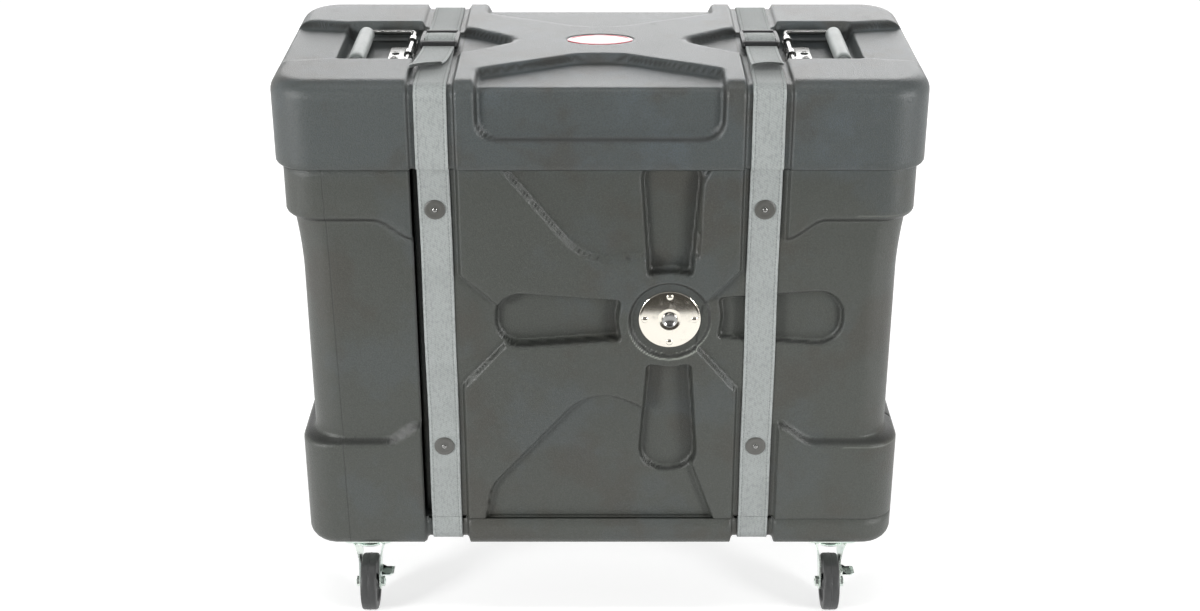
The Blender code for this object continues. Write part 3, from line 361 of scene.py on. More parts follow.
def polished(look):
    """Polished nickel with faint fingermarks and hairlines."""
    g = Graph("nickel_plate")
    place = g.place()
    marks = g.noise(place, 60.0, 5.0, 0.7).between(0.50, 0.75)
    hair = g.noise(g.stretched(place, (900.0, 40.0, 60.0)), 1.0, 3.0)
    tone = g.blend(marks * 0.25, look.nickel, scaled(look.nickel, 0.82))
    return g.surface(Base_Color=tone, Metallic=1.0, Roughness=0.07 + marks * 0.13 + hair * 0.05,
                     Normal=g.bump(hair, 0.00004, 0.3))


def plated(look):
    """Bright zinc with a cool green cast that comes and goes."""
    g = Graph("zinc_plate")
    place = g.place()
    cloud = g.noise(place, 45.0, 4.0, 0.6).between(0.35, 0.70)
    fine = g.noise(place, 700.0, 3.0)
    tone = g.blend(cloud * 0.6, (0.80, 0.86, 0.80), scaled(look.zinc, 0.86))
    return g.surface(Base_Color=tone, Metallic=1.0, Roughness=0.20 + cloud * 0.12 + fine * 0.08,
                     Normal=g.bump(fine, 0.00008, 0.4))


def enamel(look):
    """Gloss enamel under a clear coat."""
    g = Graph("badge_enamel")
    place = g.place()
    drift = g.noise(place, 90.0, 2.0)
    tone = g.blend(drift.between(0.3, 0.7) * 0.25, look.badge, scaled(look.badge, 0.75))
    return g.surface(Base_Color=tone, Roughness=0.28 + drift * 0.06, Coat_Weight=0.7,
                     Coat_Roughness=0.05, Normal=g.bump(drift, 0.0001, 0.2))


def make_finishes(look):
    """Every material, by the record's slots."""
    return {
        "case_plastic": moulded_plastic(look),
        "strap_webbing": woven(look),
        "nickel_plate": polished(look),
        "zinc_plate": plated(look),
        "badge_enamel": enamel(look),
        "bright_steel": plain("bright_steel", look.steel, 0.16, 600.0, 0.35, 1.0, 0.00005),
        "buckle_plastic": plain("buckle_plastic", look.buckle, 0.34, 900.0, 0.4),
        "washer_plastic": plain("washer_plastic", look.washer, 0.34, 900.0, 0.4, IOR=1.9),
        "grip_rubber": plain("grip_rubber", look.grip, 0.36, 800.0, 0.35),
        "wheel_rubber": plain("wheel_rubber", look.rubber, 0.36, 500.0, 0.5),
        "felt": plain("felt", look.felt, 0.95, 1100.0, 0.8, 0.0, 0.0008, Sheen_Weight=0.6),
        "nylon": plain("nylon", look.nylon, 0.5, 700.0, 0.2),
    }


finishes = {}


def finish_of(slot):
    """The material of a slot of the record, made with all the others at its first use."""
    if not finishes:
        finishes.update(make_finishes(bpy.context.scene.trapcase_finishes))
    return finishes[slot]


# Shapes worked out as whole arrays


def ramp(distance, width):
    """0 well outside an edge, 1 well inside it, in an even S over this width."""
    step = np.clip(distance / width + 0.5, 0.0, 1.0)
    return step * step * (3 - 2 * step)


def pressed(distance, width):
    """0 outside an edge and 1 inside it, rolling over softly and ending in a crisp inner corner."""
    return np.clip(distance / width + 0.5, 0.0, 1.0) ** 1.8


def painted_shade_and_rim_glint(share):
    """Painted shade on a wall for its share of the way down: darkest half-way, with a painted highlight just
    at its rim.
    """
    return 4 * share * (1 - share) - 0.5 * np.exp(-((share - 0.03) / 0.04) ** 2) * (share > 0)


def glinting(inside, width, rising):
    """What a wall that faces up adds to its painted shade: a painted highlight line at its rim and one at
    its foot.
    """
    rim = np.exp(-((inside + width / 2) / 0.0010) ** 2)
    foot = np.exp(-((inside - width / 2) / 0.0007) ** 2)
    return -np.clip(rising * 1.2, 0, 1) * (1.1 * rim + 0.9 * foot)


def lesser(first, second, rounding):
    """The lesser of two heights, with the crease between them rounded."""
    gap = np.clip(0.5 + 0.5 * (second - first) / rounding, 0.0, 1.0)
    return second * (1 - gap) + first * gap - rounding * gap * (1 - gap)


def rounded(corners, steps=6):
    """An outline whose corners, each (x, y, radius), are turned into arcs."""
    outline = []
    for i, (x, y, radius) in enumerate(corners):
        here = np.array((x, y), float)
        back = np.array(corners[i - 1][:2]) - here
        ahead = np.array(corners[(i + 1) % len(corners)][:2]) - here
        back, ahead = back / np.linalg.norm(back), ahead / np.linalg.norm(ahead)
        if radius == 0:
            outline.append(here)
            continue
        half = math.acos(np.clip(back @ ahead, -1, 1)) / 2
        inward = (back + ahead) / np.linalg.norm(back + ahead)
        centre = here + inward * radius / math.sin(half)
        start = here + back * radius / math.tan(half) - centre
        end = here + ahead * radius / math.tan(half) - centre
        for step in range(steps + 1):
            spoke = start + (end - start) * step / steps
            outline.append(centre + spoke / np.linalg.norm(spoke) * radius)
    return np.array(outline)


def depth_inside(x, y, outline):
    """Distance of each point to the outline, positive inside it."""
    nearest = np.full(x.shape, np.inf)
    inside = np.zeros(x.shape, bool)
    for (ax, ay), (bx, by) in zip(outline, np.roll(outline, -1, axis=0)):
        dx, dy = bx - ax, by - ay
        run = dx * dx + dy * dy
        if run < 1e-14:
            continue
        part = np.clip(((x - ax) * dx + (y - ay) * dy) / run, 0, 1)
        nearest = np.minimum(nearest, np.hypot(x - ax - part * dx, y - ay - part * dy))
        if dy:
            crossing = ((ay > y) != (by > y)) & (x < ax + (y - ay) * dx / dy)
            inside ^= crossing
    return np.where(inside, nearest, -nearest)


def graded(low, high, step, fine, reach, marks, exact=()):
    """Places from low to high: step apart, and as close as fine within about reach of the marks.
    The nearest place is moved onto each exact one."""
    scan = np.linspace(low, high, 2001)
    near = np.zeros_like(scan)
    for mark in marks:
        near = np.maximum(near, np.exp(-((scan - mark) / reach) ** 2))
    density = 1 / step + (1 / fine - 1 / step) * near
    total = np.concatenate([[0], np.cumsum((density[1:] + density[:-1]) / 2 * np.diff(scan))])
    count = math.ceil(total[-1])
    places = np.interp(np.linspace(0, total[-1], count + 1), total, scan)
    for mark in exact:
        places[np.argmin(abs(places - mark))] = mark
    return places


def corner_run(hx, hy, radius, start_x, start_y, parts):
    """From (start_x, hy) along the long side, round the arc and down to (hx, start_y)."""
    first = hx - radius - start_x
    arc = radius * math.pi / 2
    last = hy - radius - start_y
    run = parts * (first + arc + last)
    turn = np.clip(run - first, 0, arc) / radius
    x = start_x + np.clip(run, 0, first) + radius * np.sin(turn)
    y = hy - radius + radius * np.cos(turn) - np.clip(run - first - arc, 0, last)
    return x, y, np.sin(turn), np.cos(turn)


class Girdle:
    """The columns that run round a rounded rectangle, from the front left. Each has its x on the
    front and back and FAR elsewhere (lane_x), and -1 on the front, 1 on the back and 0 elsewhere
    (face)."""

    def __init__(self, front, side, turns):
        self.start_x, self.start_y = front[-1], side[-1]
        self.turns = np.linspace(0, 1, turns + 2)[1:-1]
        self.parts = [("front", front, -1), ("corner", 1, -1), ("side", side, 1), ("corner", 1, 1),
                      ("front", front[::-1], 1), ("corner", -1, 1), ("side", side[::-1], -1),
                      ("corner", -1, -1)]
        sizes = [len(part[1]) if part[0] != "corner" else turns for part in self.parts]
        lanes = []
        for part, size in zip(self.parts, sizes):
            kind, data, sign = part
            if kind == "front":
                lanes.append(np.stack([data, np.full(size, float(sign))]))
            else:
                far = data if kind == "corner" else sign
                lanes.append(np.stack([np.full(size, far * FAR), np.zeros(size)]))
        self.lane_x, self.face = np.concatenate(lanes, axis=1)

    def rows(self, *segments):
        """Grids of rows by columns: of each segment's arrays or numbers, one below another."""
        kinds = zip(*(np.broadcast_arrays(*segment) for segment in segments))
        return [np.concatenate(kind)[:, None] + np.zeros(self.lane_x.size) for kind in kinds]

    def ring(self, hx, hy, radius):
        """Points and outward directions, for sizes given on a grid of rows by columns."""
        pieces = []
        at = 0
        for kind, data, sign in self.parts:
            size = len(self.turns) if kind == "corner" else len(data)
            wide, deep, bend = (grid[:, at:at + size] for grid in (hx, hy, radius))
            at += size
            even = np.zeros_like(wide)
            if kind == "front":
                pieces.append((data + even, sign * deep, even, even + sign))
            elif kind == "side":
                pieces.append((sign * wide, data + even, even + sign, even))
            else:
                forward = data * sign < 0
                parts = self.turns if forward else self.turns[::-1]
                x, y, out_x, out_y = corner_run(wide, deep, bend, self.start_x, self.start_y, parts)
                pieces.append((data * x, sign * y, data * out_x, sign * out_y))
        return [np.concatenate(column, axis=1) for column in zip(*pieces)]


def patch(grid, closed=True):
    """A grid of points with its quads, joined round its columns if closed."""
    index = np.arange(grid[..., 0].size).reshape(grid.shape[:2])
    right = np.roll(index, -1, axis=1)
    quads = np.stack([index[:-1], right[:-1], right[1:], index[1:]], axis=-1)
    return grid, quads if closed else quads[:, :-1]


def capped(rings):
    """The patch of a tube of rings, drawn together in one point at each end."""
    rings = np.array(rings)
    first, last = (np.broadcast_to(ring.mean(axis=0), ring.shape) for ring in (rings[0], rings[-1]))
    return patch(np.concatenate([first[None], rings, last[None]]))


def rings_of(outline, stations, axis):
    """An outline's rings along an axis: for each (place, share) its points are that share of the
    way out from their middle."""
    middle = outline.mean(axis=0)
    return np.array([np.insert(middle + (outline - middle) * share, "XYZ".index(axis), place, axis=1)
                     for place, share in stations])


def put_mesh(name, patches, slot, merge=1e-6, uv=None, angle=None, grime=None):
    """One object from patches of (points, quads), merged where they meet, with its faces outwards,
    and with the painted light of each point: painted shade above 0 and a painted highlight below 0."""
    points, faces, offset = [], [], 0
    for grid, quads in patches:
        points.append(grid.reshape(-1, 3))
        faces.append(quads.reshape(-1, quads.shape[-1]) + offset)
        offset += len(points[-1])
    mesh = bpy.data.meshes.new(name)
    mesh.from_pydata(np.concatenate(points), [], np.concatenate(faces).tolist())
    if uv is not None:
        corners = np.empty(len(mesh.loops), np.int32)
        mesh.loops.foreach_get("vertex_index", corners)
        layer = mesh.uv_layers.new(name="UVMap")
        layer.data.foreach_set("uv", uv.reshape(-1, 2)[corners].astype(np.float32).ravel())
    # Painted light as a point attribute: painted shade above 0, painted highlight below 0
    if grime is not None:
        amounts = np.zeros(len(mesh.vertices), np.float32)
        amounts[:grime.size] = grime.ravel()
        mesh.attributes.new("grime", "FLOAT", "POINT").data.foreach_set("value", amounts)
    shape = bmesh.new()
    shape.from_mesh(mesh)
    bmesh.ops.remove_doubles(shape, verts=shape.verts, dist=merge)
    bmesh.ops.dissolve_degenerate(shape, edges=shape.edges, dist=merge / 2)
    bmesh.ops.recalc_face_normals(shape, faces=shape.faces)
    shape.to_mesh(mesh)
    shape.free()
    mesh.shade_smooth()
    if angle is not None:
        mesh.set_sharp_from_angle(angle=math.radians(angle))
    mesh.materials.append(finish_of(slot))
    piece = bpy.data.objects.new(name, mesh)
    bpy.context.scene.collection.objects.link(piece)
    return piece


def thicken(piece, depth, offset=-1.0):
    """Gives an open skin its wall: on the inner side at offset -1, and on both sides at 0."""
    wall = piece.modifiers.new("Wall", "SOLIDIFY")
    wall.thickness = depth
    wall.offset = offset
    wall.use_even_offset = False


class Box:
    """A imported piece's box: its low and high corners, its middle and half its sides."""

    def __init__(self, name):
        self.low, self.high = (np.array(corner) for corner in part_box(name))
        self.middle, self.half = (self.low + self.high) / 2, (self.high - self.low) / 2


def revolved(profile, centre, axis, steps, hollow=False):
    """The patch of a profile of (radius, height) carried round an axis through the centre. A hollow
    one's end is joined to its start."""
    radius, height = np.array(profile, float).T[..., None]
    turn = np.linspace(0, 2 * np.pi, steps, endpoint=False)
    ring_a, ring_b, level = radius * np.cos(turn), radius * np.sin(turn), height + 0 * turn
    order = {"X": (level, ring_a, ring_b), "Y": (ring_b, level, ring_a), "Z": (ring_a, ring_b, level)}
    points = np.stack(order[axis], axis=-1) + np.array(centre)
    return patch(np.concatenate([points, points[:1]]) if hollow else points)


def turned(name, profile, centre, axis, slot, steps, hollow=False, **settings):
    """A piece of one revolved profile."""
    return put_mesh(name, [revolved(profile, centre, axis, steps, hollow)], slot, **settings)


def facing(profile):
    """A profile whose heights count towards the front."""
    return [(radius, -height) for radius, height in profile]


def dome(radius, height, end=90, count=8):
    """A round head's profile of (radius, height), from its edge up to this angle in degrees."""
    return [(radius * math.cos(a), height * math.sin(a)) for a in np.radians(np.linspace(0, end, count))]


def arc(centre, radius, start, end, steps=6):
    """Points of an arc, its angles in degrees."""
    turns = np.radians(np.linspace(start, end, steps + 1))
    return [(centre[0] + radius * math.cos(a), centre[1] + radius * math.sin(a)) for a in turns]


def rounded_section(width, height, corner, steps=4):
    """A rectangle with round corners, as wide and high as given, about its middle."""
    w, h = width / 2, height / 2
    return rounded([(-w, -h, corner), (w, -h, corner), (w, h, corner), (-w, h, corner)], steps)


# Sizes and outlines of the moulded relief, in metres; a wall is the width of a step's slope

POCKET_HALF = 0.144
POCKET_SHOULDER = 0.055
POCKET_PEAK = 0.115
POCKET_PEAK_HALF = 0.026
POCKET_BOTTOM = 0.658
BAY_END_HALF = 0.083
BAY_MID_HALF = 0.048
BAY_MID_X = 0.160
BAY_TIP_X = 0.098
HANDLE_BAY_X = (0.216, 0.318)
HANDLE_BAY_HALF = 0.075
PLATE_CENTRE = (0.0845, 0.4247)
DISH_RADIUS = 0.049
PETAL_REACH = (0.064, 0.211)
PETAL_HALVES = (0.0262, 0.0372)
FAR = 2.0
GIRDLE_X = 0.300
GIRDLE_Y = 0.110
CHANNEL_BEND = 0.0159
LID_BEND = 0.0156
JOINT_GAP = 0.0005
CHANNEL_WALL = 0.0035
POCKET_WALL = 0.0068
BAY_WALL = 0.0080
HANDLE_BAY_WALL = 0.006
HANDLE_BAY_SLOPE = 0.018
BAND_MARGIN = 0.022
ARM_WALL = 0.0040
PETAL_WALL = 0.0050
DISH_WALL = 0.0045
DOOR_TOP_DROP = 0.012
DOOR_SHELL = 0.003
LINER_SHELL = 0.0045


def pocket_plan():
    """The lid's front and rear pockets from above, shouldered in to a peak."""
    edge = LID_LOW[1]
    half, peak = POCKET_HALF, POCKET_PEAK_HALF
    return rounded([(-half, -FAR, 0), (half, -FAR, 0), (half, edge + POCKET_SHOULDER, 0.012),
                    (peak, edge + POCKET_PEAK, 0.060), (-peak, edge + POCKET_PEAK, 0.060),
                    (-half, edge + POCKET_SHOULDER, 0.012)])


def pocket_front():
    """The same pockets from the front, open upwards."""
    half, bend = POCKET_HALF, 0.025
    return rounded([(-half, FAR, 0), (-half, POCKET_BOTTOM, bend), (half, POCKET_BOTTOM, bend),
                    (half, FAR, 0)])


def bay_plan():
    """The shallow bay round a handle from above, from the lid's end in to a tip."""
    end = LID_HIGH[0]
    return rounded([(end + FAR, -BAY_END_HALF, 0), (end + FAR, BAY_END_HALF, 0),
                    (end, BAY_END_HALF, 0), (BAY_MID_X, BAY_MID_HALF, 0.030), (BAY_TIP_X, 0, 0.015),
                    (BAY_MID_X, -BAY_MID_HALF, 0.030), (end, -BAY_END_HALF, 0)])


def handle_bay_plan():
    """The deep bay that a handle lies in, from above."""
    near, far = HANDLE_BAY_X
    half, bend = HANDLE_BAY_HALF, 0.012
    return rounded([(near, -half, bend), (far, -half, bend), (far, half, bend), (near, half, bend)])


def petal_plan(quarter):
    """One pocket of the cross, narrow and hollowed by the plate and round at its far end."""
    (start, end), (near, wide) = PETAL_REACH, PETAL_HALVES
    horn = start - 0.0045
    outline = rounded([(start, 0, 0.060), (horn, -near, 0.005), (end, -wide, 0.030),
                       (end, wide, 0.030), (horn, near, 0.005)])
    angle = quarter * math.pi / 2
    turn = np.array([[math.cos(angle), math.sin(angle)], [-math.sin(angle), math.cos(angle)]])
    return outline @ turn + np.array(PLATE_CENTRE)


def cross_plan(inner, low, high):
    """The raised arms from the plate to the door's corners, between the straps."""
    x, z = PLATE_CENTRE
    return rounded([
        (-inner, high, 0), (x - 0.215, high, 0), (x - 0.100, z + 0.073, 0.070),
        (x - 0.034, z + 0.084, 0.020), (x + 0.034, z + 0.084, 0), (x + 0.036, z + 0.176, 0),
        (x + 0.054, high, 0), (inner, high, 0), (inner, z + 0.065, 0), (x + 0.040, z + 0.020, 0.010),
        (x + 0.032, z - 0.036, 0.010), (inner, z - 0.096, 0), (inner, low, 0), (x + 0.066, low, 0),
        (x + 0.030, z - 0.198, 0), (x - 0.036, z - 0.117, 0.010), (x - 0.095, z - 0.090, 0.060),
        (x - 0.221, z - 0.231, 0.050), (x - 0.233, low, 0), (-inner, low, 0), (-inner, z - 0.091, 0),
        (x - 0.198, z - 0.031, 0.010), (x - 0.207, z + 0.019, 0.010), (-inner, z + 0.060, 0),
    ])


def in_channel(x, straps):
    """1 in a strap's channel and 0 beside it."""
    return ramp(straps.channel / 2 - abs(abs(x) - straps.middle), CHANNEL_WALL)


def waist(x, z, sizes, flare_from, outwards):
    """How far a band's inset has set in: 0 on the bands and 1 on the waist between them. Beside
    flare_from the bands swell into the waist."""
    away = np.clip((x - flare_from) * outwards / sizes.flare_width, 0, 1)
    beside = (x - flare_from) * outwards > -0.001
    swell = np.where(beside, sizes.flare_height * (1 - away * away * (3 - 2 * away)), 0)
    low, high = sizes.lower_band + swell, sizes.upper_band - swell
    inset, wall = 0.005, 0.011
    return pressed(z - low - inset, wall) * pressed(high - z - inset, wall)


def even_waist(z, sizes):
    """The waist where no band swells."""
    return waist(FAR + 0 * z, z, sizes, 0.0, -1)


def end_inset(z, sizes):
    """How far an end is drawn in at a height: at once above the lower band, and curving out again
    to half as much under the upper one, which it then meets in a step."""
    rise = np.clip((z - sizes.upper_band + sizes.cove) / sizes.cove, 0, 1)
    return sizes.waist_side * even_waist(z, sizes) * (1 - 0.55 * rise ** 1.8)


def lid_skin(sizes, straps):
    """The lid's outer face: up the wall, over the fillet and in to the middle line, pressed in
    along its own direction by the pockets and channels, and let down to the floors of the bays."""
    badge = Box("badge")
    rim_inset, seat_margin, seat_wall, seat_drop, crease = 0.0012, 0.0012, 0.0016, 0.0004, 0.003
    half_x, half_y = badge.half[:2] + seat_margin
    half_channel = straps.channel / 2
    badge_marks_x, badge_marks_y = (0.022, 0.040), (-0.020, -0.010)
    marks = [*badge_marks_x, POCKET_HALF, straps.middle - half_channel, straps.middle + half_channel,
             HANDLE_BAY_X[0]]
    front = graded(-GIRDLE_X, GIRDLE_X, 0.0056, 0.0019, 0.006, [s * m for m in marks for s in (-1, 1)])
    side = graded(-GIRDLE_Y, GIRDLE_Y, 0.006, 0.0022, 0.006, [-BAY_END_HALF, BAY_END_HALF])
    girdle = Girdle(front, side, 15)
    rim, top, bend = LID_LOW[2], LID_HIGH[2], sizes.lid_fillet
    deep = LID_HIGH[1] - bend
    wall = graded(rim + 0.002, top - bend, 0.006, 0.0022, 0.007, [POCKET_BOTTOM])
    turns = np.radians(np.linspace(0, 90, 9)[1:])
    level = graded(-deep, 0, 0.0046, 0.0017, 0.006,
                   [-HANDLE_BAY_HALF, -BAY_MID_HALF, -BAY_END_HALF, *badge_marks_y])[1:]
    z, inset, slope, pull = girdle.rows(
        ([rim], rim_inset, 0, 0), (wall, 0, 0, 0),
        (top - bend * (1 - np.sin(turns)), bend * (1 - np.cos(turns)), turns, 0),
        (top, bend, np.pi / 2, 1 + level / deep))
    x, y, out_x, out_y = girdle.ring(LID_HIGH[0] - inset, LID_HIGH[1] - inset,
                                     sizes.lid_corner - inset)
    x = x + (np.clip(x, -GIRDLE_X, GIRDLE_X) - x) * pull
    y = y * (1 - pull)
    channel = in_channel(x, straps)
    pocket = pressed(np.minimum(depth_inside(x, -abs(y), pocket_plan()),
                                depth_inside(x, z, pocket_front())), POCKET_WALL)
    press = np.maximum(channel * straps.channel_depth, pocket * sizes.pocket_depth)
    down = np.cos(slope)
    x = x - press * down * out_x
    y = y - press * down * out_y
    z = z - press * np.sin(slope)
    bay_share = pressed(depth_inside(abs(x), y, bay_plan()), BAY_WALL)
    deep_share = np.minimum(ramp(depth_inside(abs(x), y, handle_bay_plan()), HANDLE_BAY_WALL),
                            ramp(HANDLE_BAY_X[1] - abs(x), HANDLE_BAY_SLOPE))
    floor = top - np.maximum(bay_share * sizes.bay_depth, deep_share * sizes.handle_bay_depth)
    z = np.where(floor < top - 1e-6, lesser(z, floor, crease), z)
    seat = ramp((1 - np.hypot(x / half_x, y / half_y)) * half_y, seat_wall)
    z = z - seat * (top - badge.low[2] + seat_drop)
    # Painted shade in the pockets, channels and bays and deep in the handle bays, with painted highlights
    # just inside their rims
    grime = np.max([painted_shade_and_rim_glint(pocket), painted_shade_and_rim_glint(channel), painted_shade_and_rim_glint(bay_share), 0.2 * deep_share], axis=0)
    return np.stack([x, y, z], axis=-1), grime


class TRAPCASE_OT_lid(bpy.types.Operator):
    """Adds the lift-off lid, one moulded shell with its pockets, channels and handle bays"""

    bl_idname = "trapcase.lid"
    bl_label = "Lid"

    def execute(self, context):
        skin, grime = lid_skin(context.scene.trapcase_sizes, context.scene.trapcase_straps)
        piece = put_mesh("lid_moulding", [patch(skin)], "case_plastic", grime=grime)
        thicken(piece, context.scene.trapcase_sizes.wall)
        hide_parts("lid_shell")
        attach(piece, "lid")
        return {"FINISHED"}


def body_skin(sizes, straps):
    """The body's outer face from its neck down over the base to the middle line underneath."""
    door_left, door_low = DOOR_LOW[0] - JOINT_GAP, DOOR_LOW[2] - JOINT_GAP
    door_back = DOOR_HIGH[1] + JOINT_GAP
    half_channel = straps.channel / 2
    marks = [s * (straps.middle + t * half_channel) for t in (-1, 1) for s in (-1, 1)]
    front = graded(-GIRDLE_X, GIRDLE_X, 0.009, 0.0022, 0.006, marks, exact=[door_left])
    side = graded(-GIRDLE_Y, GIRDLE_Y, 0.012, 0.005, 0.01, [door_back], exact=[door_back])
    girdle = Girdle(front, side, 12)
    rim, base, bend = LID_LOW[2], BODY_LOW[2], sizes.body_fillet
    neck = np.linspace(BODY_HIGH[2], rim + 0.001, 5)
    wall = graded(base + bend, rim - 0.001, 0.011, 0.0022, 0.014,
                  [sizes.lower_band, sizes.lower_band + BAND_MARGIN, sizes.upper_band - BAND_MARGIN,
                   sizes.upper_band], exact=[door_low])[::-1]
    turns = np.radians(np.linspace(0, 90, 8)[1:])
    level = np.linspace(0, 1, 14)[1:]
    z, inset, slope, pull, on_wall = girdle.rows(
        (neck, sizes.neck, 0, 0, 0), (wall, 0, 0, 0, 1),
        (base + bend * (1 - np.sin(turns)), bend * (1 - np.cos(turns)), turns, 0, 0),
        (base, bend, np.pi / 2, level, 0))
    lane, front_face = girdle.lane_x + 0 * z, girdle.face + 0 * z < 0
    flared = waist(np.where(front_face, lane, FAR), z, sizes, door_left, -1)
    drawn = np.where(front_face & (lane < 0), flared, even_waist(z, sizes)) * on_wall
    channel = in_channel(lane, straps)
    channel = np.where(front_face & (lane > door_left) & (z > door_low), 0, channel)
    sunk = np.maximum(drawn, channel * (1 - (z > rim)))
    x, y, _, _ = girdle.ring(BODY_HIGH[0] - inset - end_inset(z, sizes) * on_wall,
                             BODY_HIGH[1] - inset - sizes.waist_front * sunk, sizes.body_corner - inset)
    x = x + (np.clip(x, -GIRDLE_X, GIRDLE_X) - x) * pull
    y = y * (1 - pull)
    z = z + straps.channel_depth * channel * np.sin(slope)
    points, faces = patch(np.stack([x, y, z], axis=-1))
    middle = points.reshape(-1, 3)[faces].mean(axis=2)
    behind = (middle[..., 0] > door_left) & (middle[..., 1] < door_back) & (middle[..., 2] > door_low)
    # The last array is painted shade on the waist's walls and the channels' walls, with painted highlights
    # at their rims
    return points, faces[~behind], np.maximum(painted_shade_and_rim_glint(drawn), painted_shade_and_rim_glint(channel))


def vault_liner(sizes):
    """The vault's floor and partition, one sheet bent up at the back, and its left end wall."""
    overlap, bend, end_gap = JOINT_GAP + 0.001, 0.008, 0.005
    left, low, back = DOOR_LOW[0] - overlap, DOOR_LOW[2] - overlap, DOOR_HIGH[1] + overlap
    right = BODY_HIGH[0] - sizes.wall - sizes.waist_side - 0.001
    front, top = BODY_LOW[1] + sizes.waist_front, BODY_HIGH[2] - 0.001
    run = np.array([(front, low), *arc((back - bend, low + bend), bend, -90, 0), (back, top)])
    xs, ys = np.linspace(left, right, 12), np.linspace(front + 0.002, back, 6)
    zs = np.linspace(low, top - 0.03, 12)[:, None]
    return {"vault_partition": np.stack(np.broadcast_arrays(xs, run[:, :1], run[:, 1:]), axis=-1),
            "vault_end_wall": np.stack(np.broadcast_arrays(left - end_gap, ys, zs), axis=-1)}


class TRAPCASE_OT_body(bpy.types.Operator):
    """Adds the case's body, a moulded tub open where the vault door stands, and the vault's liner"""

    bl_idname = "trapcase.body"
    bl_label = "Body"

    def execute(self, context):
        sizes = context.scene.trapcase_sizes
        points, faces, grime = body_skin(sizes, context.scene.trapcase_straps)
        piece = put_mesh("body_moulding", [(points, faces)], "case_plastic", grime=grime)
        thicken(piece, sizes.wall)
        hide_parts("case_body")
        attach(piece, "case")
        for name, grid in vault_liner(sizes).items():
            liner = put_mesh(name, [patch(grid, False)], "case_plastic")
            thicken(liner, LINER_SHELL, 0.0)
            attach(liner, "case")
        return {"FINISHED"}


def door_walls(straps):
    """The door's steep walls as (distance to the wall, its width): the arms' first, positive beside
    the arms, then the four petals', positive inside them."""
    inner = straps.middle - straps.channel / 2
    cross = cross_plan(inner, DOOR_LOW[2] - 0.02, DOOR_HIGH[2] + 0.02)
    yield lambda x, z: -np.minimum(depth_inside(x, z, cross), inner - abs(x)), ARM_WALL
    for quarter in range(4):
        plan = petal_plan(quarter)
        yield lambda x, z, plan=plan: depth_inside(x, z, plan), PETAL_WALL


def settled(x, z, straps, reach=0.0021):
    """Slides the inner points of the door's grid that lie near a wall's rim or foot onto it, so
    that few points draw a crisp edge: each by its distance times (1 - (distance / reach)^2)^2."""
    tiny = 1e-5
    for field, width in door_walls(straps):
        for line in (-width / 2, width / 2):
            away = field(x, z) - line
            near = np.clip(1 - (away / reach) ** 2, 0, 1) ** 2
            near[[0, -1]] = 0
            near[:, [0, -1]] = 0
            slope_x, slope_z = field(x + tiny, z) - line - away, field(x, z + tiny) - line - away
            x = x - away * near * slope_x / tiny
            z = z - away * near * slope_z / tiny
    return x, z


def walled(distance, width):
    """0 outside a wall and 1 inside it, rounded a little at the rim."""
    return np.clip(distance / width + 0.5, 0.0, 1.0) ** 1.25


def door_relief(x, z, sizes, straps):
    """Depth of the door's face behind the foremost plane, petals and dish included, and its painted light:
    painted shade that lies on the walls and thins out over the petals' floors, and painted highlights on the
    rims and feet of walls that face up."""
    outer, arm_depth, step = straps.middle + straps.channel / 2, 0.0003, 0.0005
    drawn = np.maximum(waist(x, z, sizes, outer, 1), ramp(outer - x, CHANNEL_WALL))
    depth = drawn * sizes.waist_front
    rebate = ramp(0.0004 - straps.middle - straps.width / 2 - x, 0.0018)
    depth = depth + rebate * (sizes.rebate - depth)
    (beside, width), *petals = door_walls(straps)
    inside = beside(x, z)
    share = walled(inside, width)
    depth = arm_depth + (depth - arm_depth) * share
    # Painted shade on the arms' walls and the waist's walls, then painted highlights on the arms' edges that
    # face up
    grime = np.maximum(painted_shade_and_rim_glint(share), painted_shade_and_rim_glint(drawn) * (x > outer)) * 0.8
    grime = grime + glinting(inside, width, (beside(x, z + step) - inside) / step)
    for petal, width in petals:
        inside = petal(x, z)
        share = walled(inside, width)
        depth = depth + share * (sizes.petal_depth - depth)
        # Painted shade on each petal: on its walls, more where they face up, and on its floor, darkest by
        # the walls; painted highlights at the rim and foot of its up-facing walls
        floor = 0.55 * np.exp(-np.clip(inside - width / 2, 0, 1) / 0.009) * (inside > 0)
        rising = (petal(x, z + step) - inside) / step
        wall = np.maximum(painted_shade_and_rim_glint(share) * (0.75 + 0.35 * np.clip(rising, 0, 1)), floor * (share >= 1))
        glint = glinting(inside, width, rising)
        grime = np.where(inside > -width / 2 - 0.0025, wall + glint, grime)
    away = np.hypot(x - PLATE_CENTRE[0], z - PLATE_CENTRE[1])
    dish, rising = walled(DISH_RADIUS - away, DISH_WALL), (PLATE_CENTRE[1] - z) / np.maximum(away, 0.01)
    # Painted shade in the dish and on its wall, with painted highlights on its lower rim and foot
    grime = np.maximum(grime, painted_shade_and_rim_glint(dish)) + 0.3 * dish
    grime = grime + glinting(DISH_RADIUS - away, DISH_WALL, rising)
    return depth + dish * (sizes.dish_depth - depth) * (depth < sizes.dish_depth + 0.002), grime


